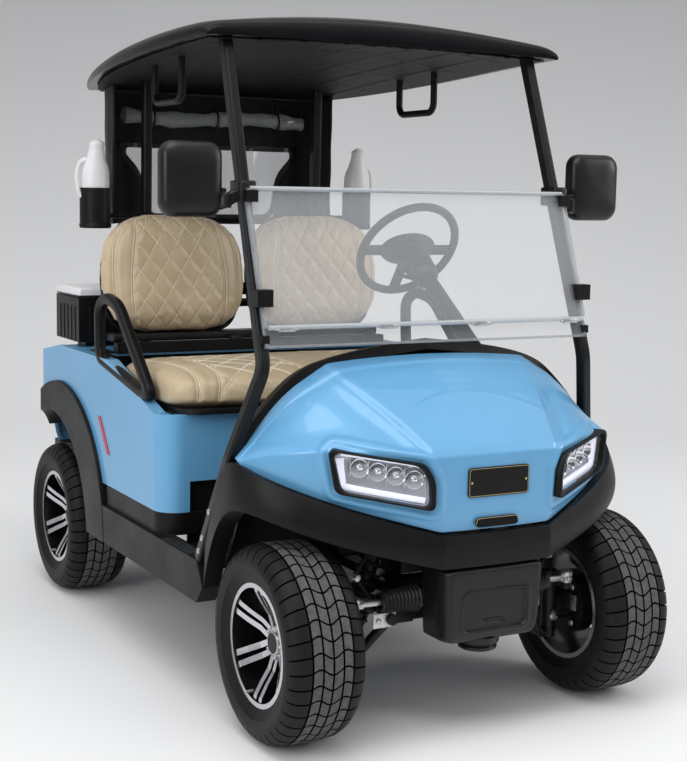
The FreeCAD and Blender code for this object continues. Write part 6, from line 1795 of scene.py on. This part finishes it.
def make_mirrors():
    """Rounded mirror heads with their glass, arms, knuckles and collars."""
    shell = mirror_rings([(0.0, -0.0268), (0.35, -0.0262), (0.65, -0.0240), (0.84, -0.0200),
                          (0.94, -0.0135), (0.985, -0.005), (1.0, 0.006), (1.0, 0.018),
                          (0.985, 0.0245), (0.955, 0.0262), (0.93, 0.0235)])
    housings = [outward(grid_mesh("housing", shell, tube=True, sharp_deg=45))]
    glass = grid_mesh("glass", mirror_rings([(0.93, 0.0230), (0.6, 0.0236), (0.0, 0.0240)]), tube=True)
    arm = smooth_path([(0.574, -0.645, 1.378), (0.560, -0.652, 1.384), (0.535, -0.656, 1.398),
                       (0.512, -0.650, 1.402)], 24)
    housings.append(sweep_mesh("arm", arm, block_section(0.020, 0.034, 0.008, 4)))
    knuckle = [(-0.020, 0), (-0.020, 0.012), (-0.016, 0.016), (0.016, 0.016), (0.020, 0.012), (0.020, 0)]
    housings.append(lathe("knuckle", knuckle, (0, 0, 1), (0.556, -0.652, 1.388), 24))
    housings.append(box_mesh("collar", (0.480, -0.680, 1.385), (0.526, -0.606, 1.440), 0.006, 3))
    housings.append(box_mesh("web", (0.552, -0.652, 1.370), (0.600, -0.630, 1.420), 0.006, 3))
    add_piece("mirror_housings", mirror_x(joined("mirror", housings, 45)), "satin_black", "chassis",
              ("mirrors",))
    add_piece("mirror_glasses", mirror_x(joined("glass", [glass])), "lamp_silver")


# Block under the band, and the front axle's fittings

block_back_y, block_corner, block_side_step, block_side_count = -1.06, 0.020, 0.092 / 6, 6
skid_place, panel_half, panel_low, panel_high = (-0.010, -1.068, 0.232), 0.098, 0.297, 0.396


def make_block():
    """Rounded bumper block with its sunk panel and a skid ring."""
    levels = [(0.268, 0.132, -1.118), (0.274, 0.140, -1.127), (0.290, 0.1455, -1.1325),
              (0.330, 0.1480, -1.1345), (0.420, 0.1515, -1.1375), (0.452, 0.1520, -1.1385),
              (0.460, 0.1500, -1.1370), (0.463, 0.1420, -1.1290)]
    grid = []
    for z, half, front in levels:
        line = []
        for k in range(81):
            x = -half + 2 * half * k / 80
            edge = min((half - abs(x)) / block_corner, 1)
            line.append((x, front + block_corner * (1 - edge) ** 2, z))
        side = [(half + 0.003, front + 0.022 + block_side_step * (k + 1), z)
                for k in range(block_side_count)]
        grid.append([(-x, y, z) for x, y, z in side[::-1]] + line + side)
    dense = spline_blocks(np.array(grid), (0, 7), (90,), 0)
    x, z = dense[..., 0], dense[..., 2]
    corners = [(-panel_half, panel_low), (panel_half, panel_low), (panel_half, panel_high),
               (-panel_half, panel_high)]
    away = outline_distance(x, z, [tuple(p) for p in rounded_outline(corners, 0.016)])
    sink = 0.0085 * (1 - soft_step(away, -0.003, 0.001)) - 0.0028 * bell(away - 0.005, 0.004)
    slot_away = np.hypot(np.maximum(np.abs(x) - 0.028, 0), z - 0.318)
    sink += 0.0045 * (1 - soft_step(slot_away, 0.004, 0.008))
    front = slice(block_side_count, -block_side_count)
    dense[:, front, 1] += sink[:, front]
    bottom, top = ([[(p[0] * 0.2, block_back_y, z) for p in row]]
                   for row, z in ((dense[0], levels[0][0]), (dense[-1], levels[-1][0])))
    block = grid_mesh("block", np.concatenate((bottom, dense, top), 0), sharp_deg=45)
    skid = [(0.0, 0.0), (0.0, 0.046), (0.003, 0.051), (0.010, 0.052), (0.013, 0.047), (0.017, 0.046),
            (0.020, 0.056), (0.038, 0.058)]
    ring = lathe("skid", skid, (0, 0, 1), skid_place, 40)
    add_piece("block_skin", joined("block", [block, ring], 45), "satin_black", "chassis",
              ("bumper_block",))


spring_foot, spring_head = Vector((0.2874, -0.866, 0.23775)), Vector((0.195, -0.866, 0.520))
rack_y, rack_z, rod_end_x, nut_x = -0.988, 0.3615, 0.336, 0.322


def make_springs():
    """The front coil springs between their cups, and the stay links beside them."""
    plates = [box_mesh("plate", (0.196, -0.962, 0.282), (0.266, -0.958, 0.322), 0.001, 1)]
    for x in (0.212, 0.250):
        plates.append(bolt_mesh("bolt", (x, -0.962, 0.302), (0, -1, 0), 0.007, 0.005))
    ball = [(-0.013, 0.0), (-0.010, 0.009), (0.0, 0.0135), (0.010, 0.009), (0.013, 0.0)]
    plates.append(lathe("ball", ball, (0, 1, 0), (0.306, -0.940, 0.420), 20))
    add_piece("stay_plates", mirror_x(joined("plates", plates)), "steel")
    made = [spring_mesh("spring", spring_foot.lerp(spring_head, 0.20), spring_foot.lerp(spring_head, 0.86),
                        0.0315, 0.0045, 7.5)]
    cup = [(-0.003, 0.020), (-0.003, 0.038), (0.003, 0.039), (0.005, 0.020)]
    for share in (0.19, 0.87):
        made.append(lathe("cup", cup, spring_head - spring_foot, spring_foot.lerp(spring_head, share), 28))
    for path in ([(0.306, -0.930, 0.424), (0.235, -0.925, 0.520)],
                 [(0.306, -0.930, 0.418), (0.250, -0.945, 0.345)]):
        made.append(tube_mesh("link", path, 0.006, 10))
    add_piece("coil_springs", mirror_x(joined("springs", made)), "frame_paint")


def make_rack_bellows():
    """Hollow folded boots over the ends of the steering rack's housing."""
    neck, mouth, length, step = 0.0185, 0.0243, 0.112, 0.0105
    outline = [(0.0, mouth), (0.0, 0.034)]
    for k in range(10):
        wide = 0.0365 - 0.0010 * k
        outline += [(0.003 + step * k, wide), (0.0080 + step * k, wide - 0.0060)]
    outline += [(0.108, 0.0250), (length, 0.0250), (length, neck), (0.044, neck), (0.044, mouth),
                (0.0, mouth)]
    boot = lathe("bellows", outline, (1, 0, 0), (0.152, rack_y, rack_z), 28, 60)
    add_piece("rack_bellows", mirror_x(joined("bellows", [boot], 60)), "bellows")


def make_rod_ends():
    """Lock nuts, sockets and domed covers of the tie rods' outer ends."""
    nut = [(-0.007, 0.0), (-0.007, 0.0125), (0.007, 0.0125), (0.007, 0.0)]
    socket = [(-0.012, 0.0), (-0.010, 0.011), (0.004, 0.0165), (0.012, 0.0165), (0.017, 0.011), (0.018, 0.0)]
    dome = [(0.0, 0.0095), (0.006, 0.008), (0.009, 0.0)]
    made = []
    for side in (-1, 1):
        made.append(lathe("nut", nut, (1, 0, 0), (nut_x * side, rack_y, rack_z), 6))
        made.append(lathe("socket", socket, (0, 0, 1), (rod_end_x * side, rack_y, rack_z + 0.0045), 24))
        made.append(lathe("dome", dome, (0, -1, 0), (rod_end_x * side, rack_y - 0.011, rack_z), 16))
    add_piece("rod_ends", joined("ends", made), "steel", "tie_rod_bar")


def make_upright_bolts():
    """Bolts, a clip and the joints' nuts and balls on both uprights."""
    nut = [(0.0, 0.0), (0.0, 0.012), (0.010, 0.012), (0.013, 0.006), (0.013, 0.0)]
    ball = [(0.0, 0.013), (0.006, 0.015), (0.012, 0.011), (0.014, 0.0)]
    for side_name, side in (("right", -1), ("left", 1)):
        bits = [bolt_mesh("bolt", (side * 0.402, y, z), (-side, 0, 0), 0.009, 0.008)
                for y in (-0.935, -0.851) for z in (0.312, 0.208)]
        clip_x = side * 0.3985
        bits.append(box_mesh("clip", (clip_x - 0.003, -0.955, 0.246), (clip_x + 0.003, -0.920, 0.292),
                             0.002))
        bits.append(lathe("nut", nut, (0, 0, 1), (0.350 * side, -0.893, 0.3475), 6))
        bits.append(lathe("ball", ball, (0, -1, 0), (0.350 * side, -0.914, 0.232), 20))
        add_piece(f"upright_bolts_{side_name}", joined("bits", bits), "steel", f"upright_{side_name}")


# Cooler, hand rails and side details

rib_pitch, rib_half, rib_low, rib_high = 0.040, 0.007, 0.020, 0.030


def make_cooler():
    """The rounded lid with its lip and latch, and the ribs on the box's front and outer sides."""
    low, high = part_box("cooler_lid")
    body_low, body_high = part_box("cooler_box")
    lid = box_mesh("lid", low, high, 0.009, 4)
    add_piece("cooler_lid_skin", lid, "white_plastic", "lid", ("cooler_lid",))
    middle = (low.x + high.x) / 2
    trims = [box_mesh("lip", (low.x - 0.002, low.y - 0.002, low.z + 0.002),
                      (high.x + 0.002, high.y - 0.010, low.z + 0.008), 0.002),
             box_mesh("latch", (middle - 0.022, low.y - 0.007, low.z - 0.004),
                      (middle + 0.022, low.y + 0.001, low.z + 0.026), 0.002)]
    add_piece("cooler_latch", joined("trim", trims), "satin_black", "lid")
    foot, head = body_low.z + rib_low, body_high.z - rib_high
    ribs = []
    for k in range(5):
        y = body_low.y + 0.045 + rib_pitch * k
        ribs.append(box_mesh("rib", (body_low.x - 0.002, y - rib_half, foot),
                             (body_low.x + 0.001, y + rib_half, head), 0.001))
    for k in range(4):
        x = body_low.x + 0.043 + rib_pitch * k
        ribs.append(box_mesh("rib", (x - rib_half, body_low.y - 0.002, foot),
                             (x + rib_half, body_low.y + 0.001, head), 0.001))
    add_piece("cooler_ribs", joined("ribs", ribs), "black_plastic")


hip_low, hip_size, hip_middle = (-0.1855, 0.7898), (0.532, 0.308), (0.50, 0.48)
hip_inset, hip_corner = (0.87, 0.85), 0.040
hip_outline = ((0.00, 0.00), (0.12, -0.02), (0.98, 0.24), (1.00, 0.86), (0.84, 1.00), (0.60, 0.93))


def make_hip_loops():
    """Smooth moulded loops beside the cushion, rounded along every edge."""
    line = [[low + size * (middle + (share - middle) * inset) for low, size, middle, inset, share
             in zip(hip_low, hip_size, hip_middle, hip_inset, point)] for point in hip_outline]
    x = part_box("hip_restraints")[1].x - 0.018
    loops = []
    for side in (-1, 1):
        path = [(side * x, p.x, p.y) for p in rounded_outline(line, hip_corner)]
        loops.append(sweep_mesh("loop", path, block_section(0.037, 0.033, 0.0125, 5), True, (1, 0, 0)))
    add_piece("hip_loops", joined("loops", loops, 50), "black_plastic", "chassis", ("hip_restraints",))


tray_half, tray_front, tray_back, tray_low, tray_high = 0.498, 0.384, 0.470, 0.9135, 0.9400


def make_seat_tray():
    """Black cover strip under the seat backs, the fixings along the rail and the shoulder caps."""
    trims = [box_mesh("tray", (-tray_half, tray_front, tray_low), (tray_half, tray_back, tray_high),
                      0.006, 3)]
    boss = [(0.0, 0.0), (0.0, 0.022), (0.010, 0.022), (0.014, 0.017), (0.014, 0.0)]
    for x in (-0.455, -0.07, 0.07, 0.455):
        trims.append(lathe("boss", boss, (0, 0, 1), (x, 0.362, tray_low), 24))
    for side in (-1, 1):
        for near, far, y in ((0.534, 0.553, 0.262), (0.4985, 0.534, 0.360)):
            a, b = sorted((side * near, side * far))
            trims.append(box_mesh("cap", (a, y, 0.8803), (b, tray_back, 0.8850), 0.001, 1))
    add_piece("seat_tray", joined("tray", trims), "satin_black")


def make_wheel_pad():
    """Padded hub cover and the shroud below it, round about the column's axis."""
    low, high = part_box("steering_wheel")
    size, middle = high - low, (low + high) / 2
    axis = Vector((0, size.z, size.y)).normalized()
    pad_outline = [(-0.016, 0.0), (-0.014, 0.040), (-0.004, 0.058), (0.006, 0.060), (0.014, 0.050),
                   (0.019, 0.026), (0.020, 0.0)]
    pad = lathe("pad", pad_outline, axis, middle, 40, 60)
    moved(pad, Matrix.Translation(middle) @ Matrix.Diagonal((1.65, 1, 1, 1)) @ Matrix.Translation(-middle))
    shroud_outline = [(-0.150, 0.0), (-0.150, 0.036), (-0.145, 0.040), (-0.070, 0.047), (-0.030, 0.050),
                      (-0.022, 0.044), (-0.022, 0.0)]
    shroud = lathe("shroud", shroud_outline, axis, middle, 36, 40)
    add_piece("wheel_pad", joined("pad", [pad, shroud], 50), "satin_black", "steering")


def make_mats():
    """Ribbed tread strips on the steps and the floor mat."""
    floor_low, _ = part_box("floor_pan")
    strips = []
    for side in (-1, 1):
        for k in range(5):
            x = side * (0.556 + 0.009 * k)
            strips.append(box_mesh("rib", (x - 0.0022, -0.500, 0.4115), (x + 0.0022, -0.300, 0.4145),
                                   0.0008, 1))
    low, high = floor_low.z + 0.0085, floor_low.z + 0.0125
    for k in range(22):
        x = -0.46 + 0.92 * k / 21
        strips.append(box_mesh("rib", (x - 0.010, -0.540, low), (x + 0.010, -0.260, high), 0.001, 1))
    add_piece("floor_ribs", joined("ribs", strips), "bellows")


for make in (make_roof_liner, make_screen_edges, make_rear_cover, make_rolled_screen, make_bottles,
             make_mirrors, make_block, make_springs, make_rack_bellows, make_rod_ends,
             make_upright_bolts, make_cooler, make_hip_loops, make_seat_tray, make_wheel_pad, make_mats):
    make()
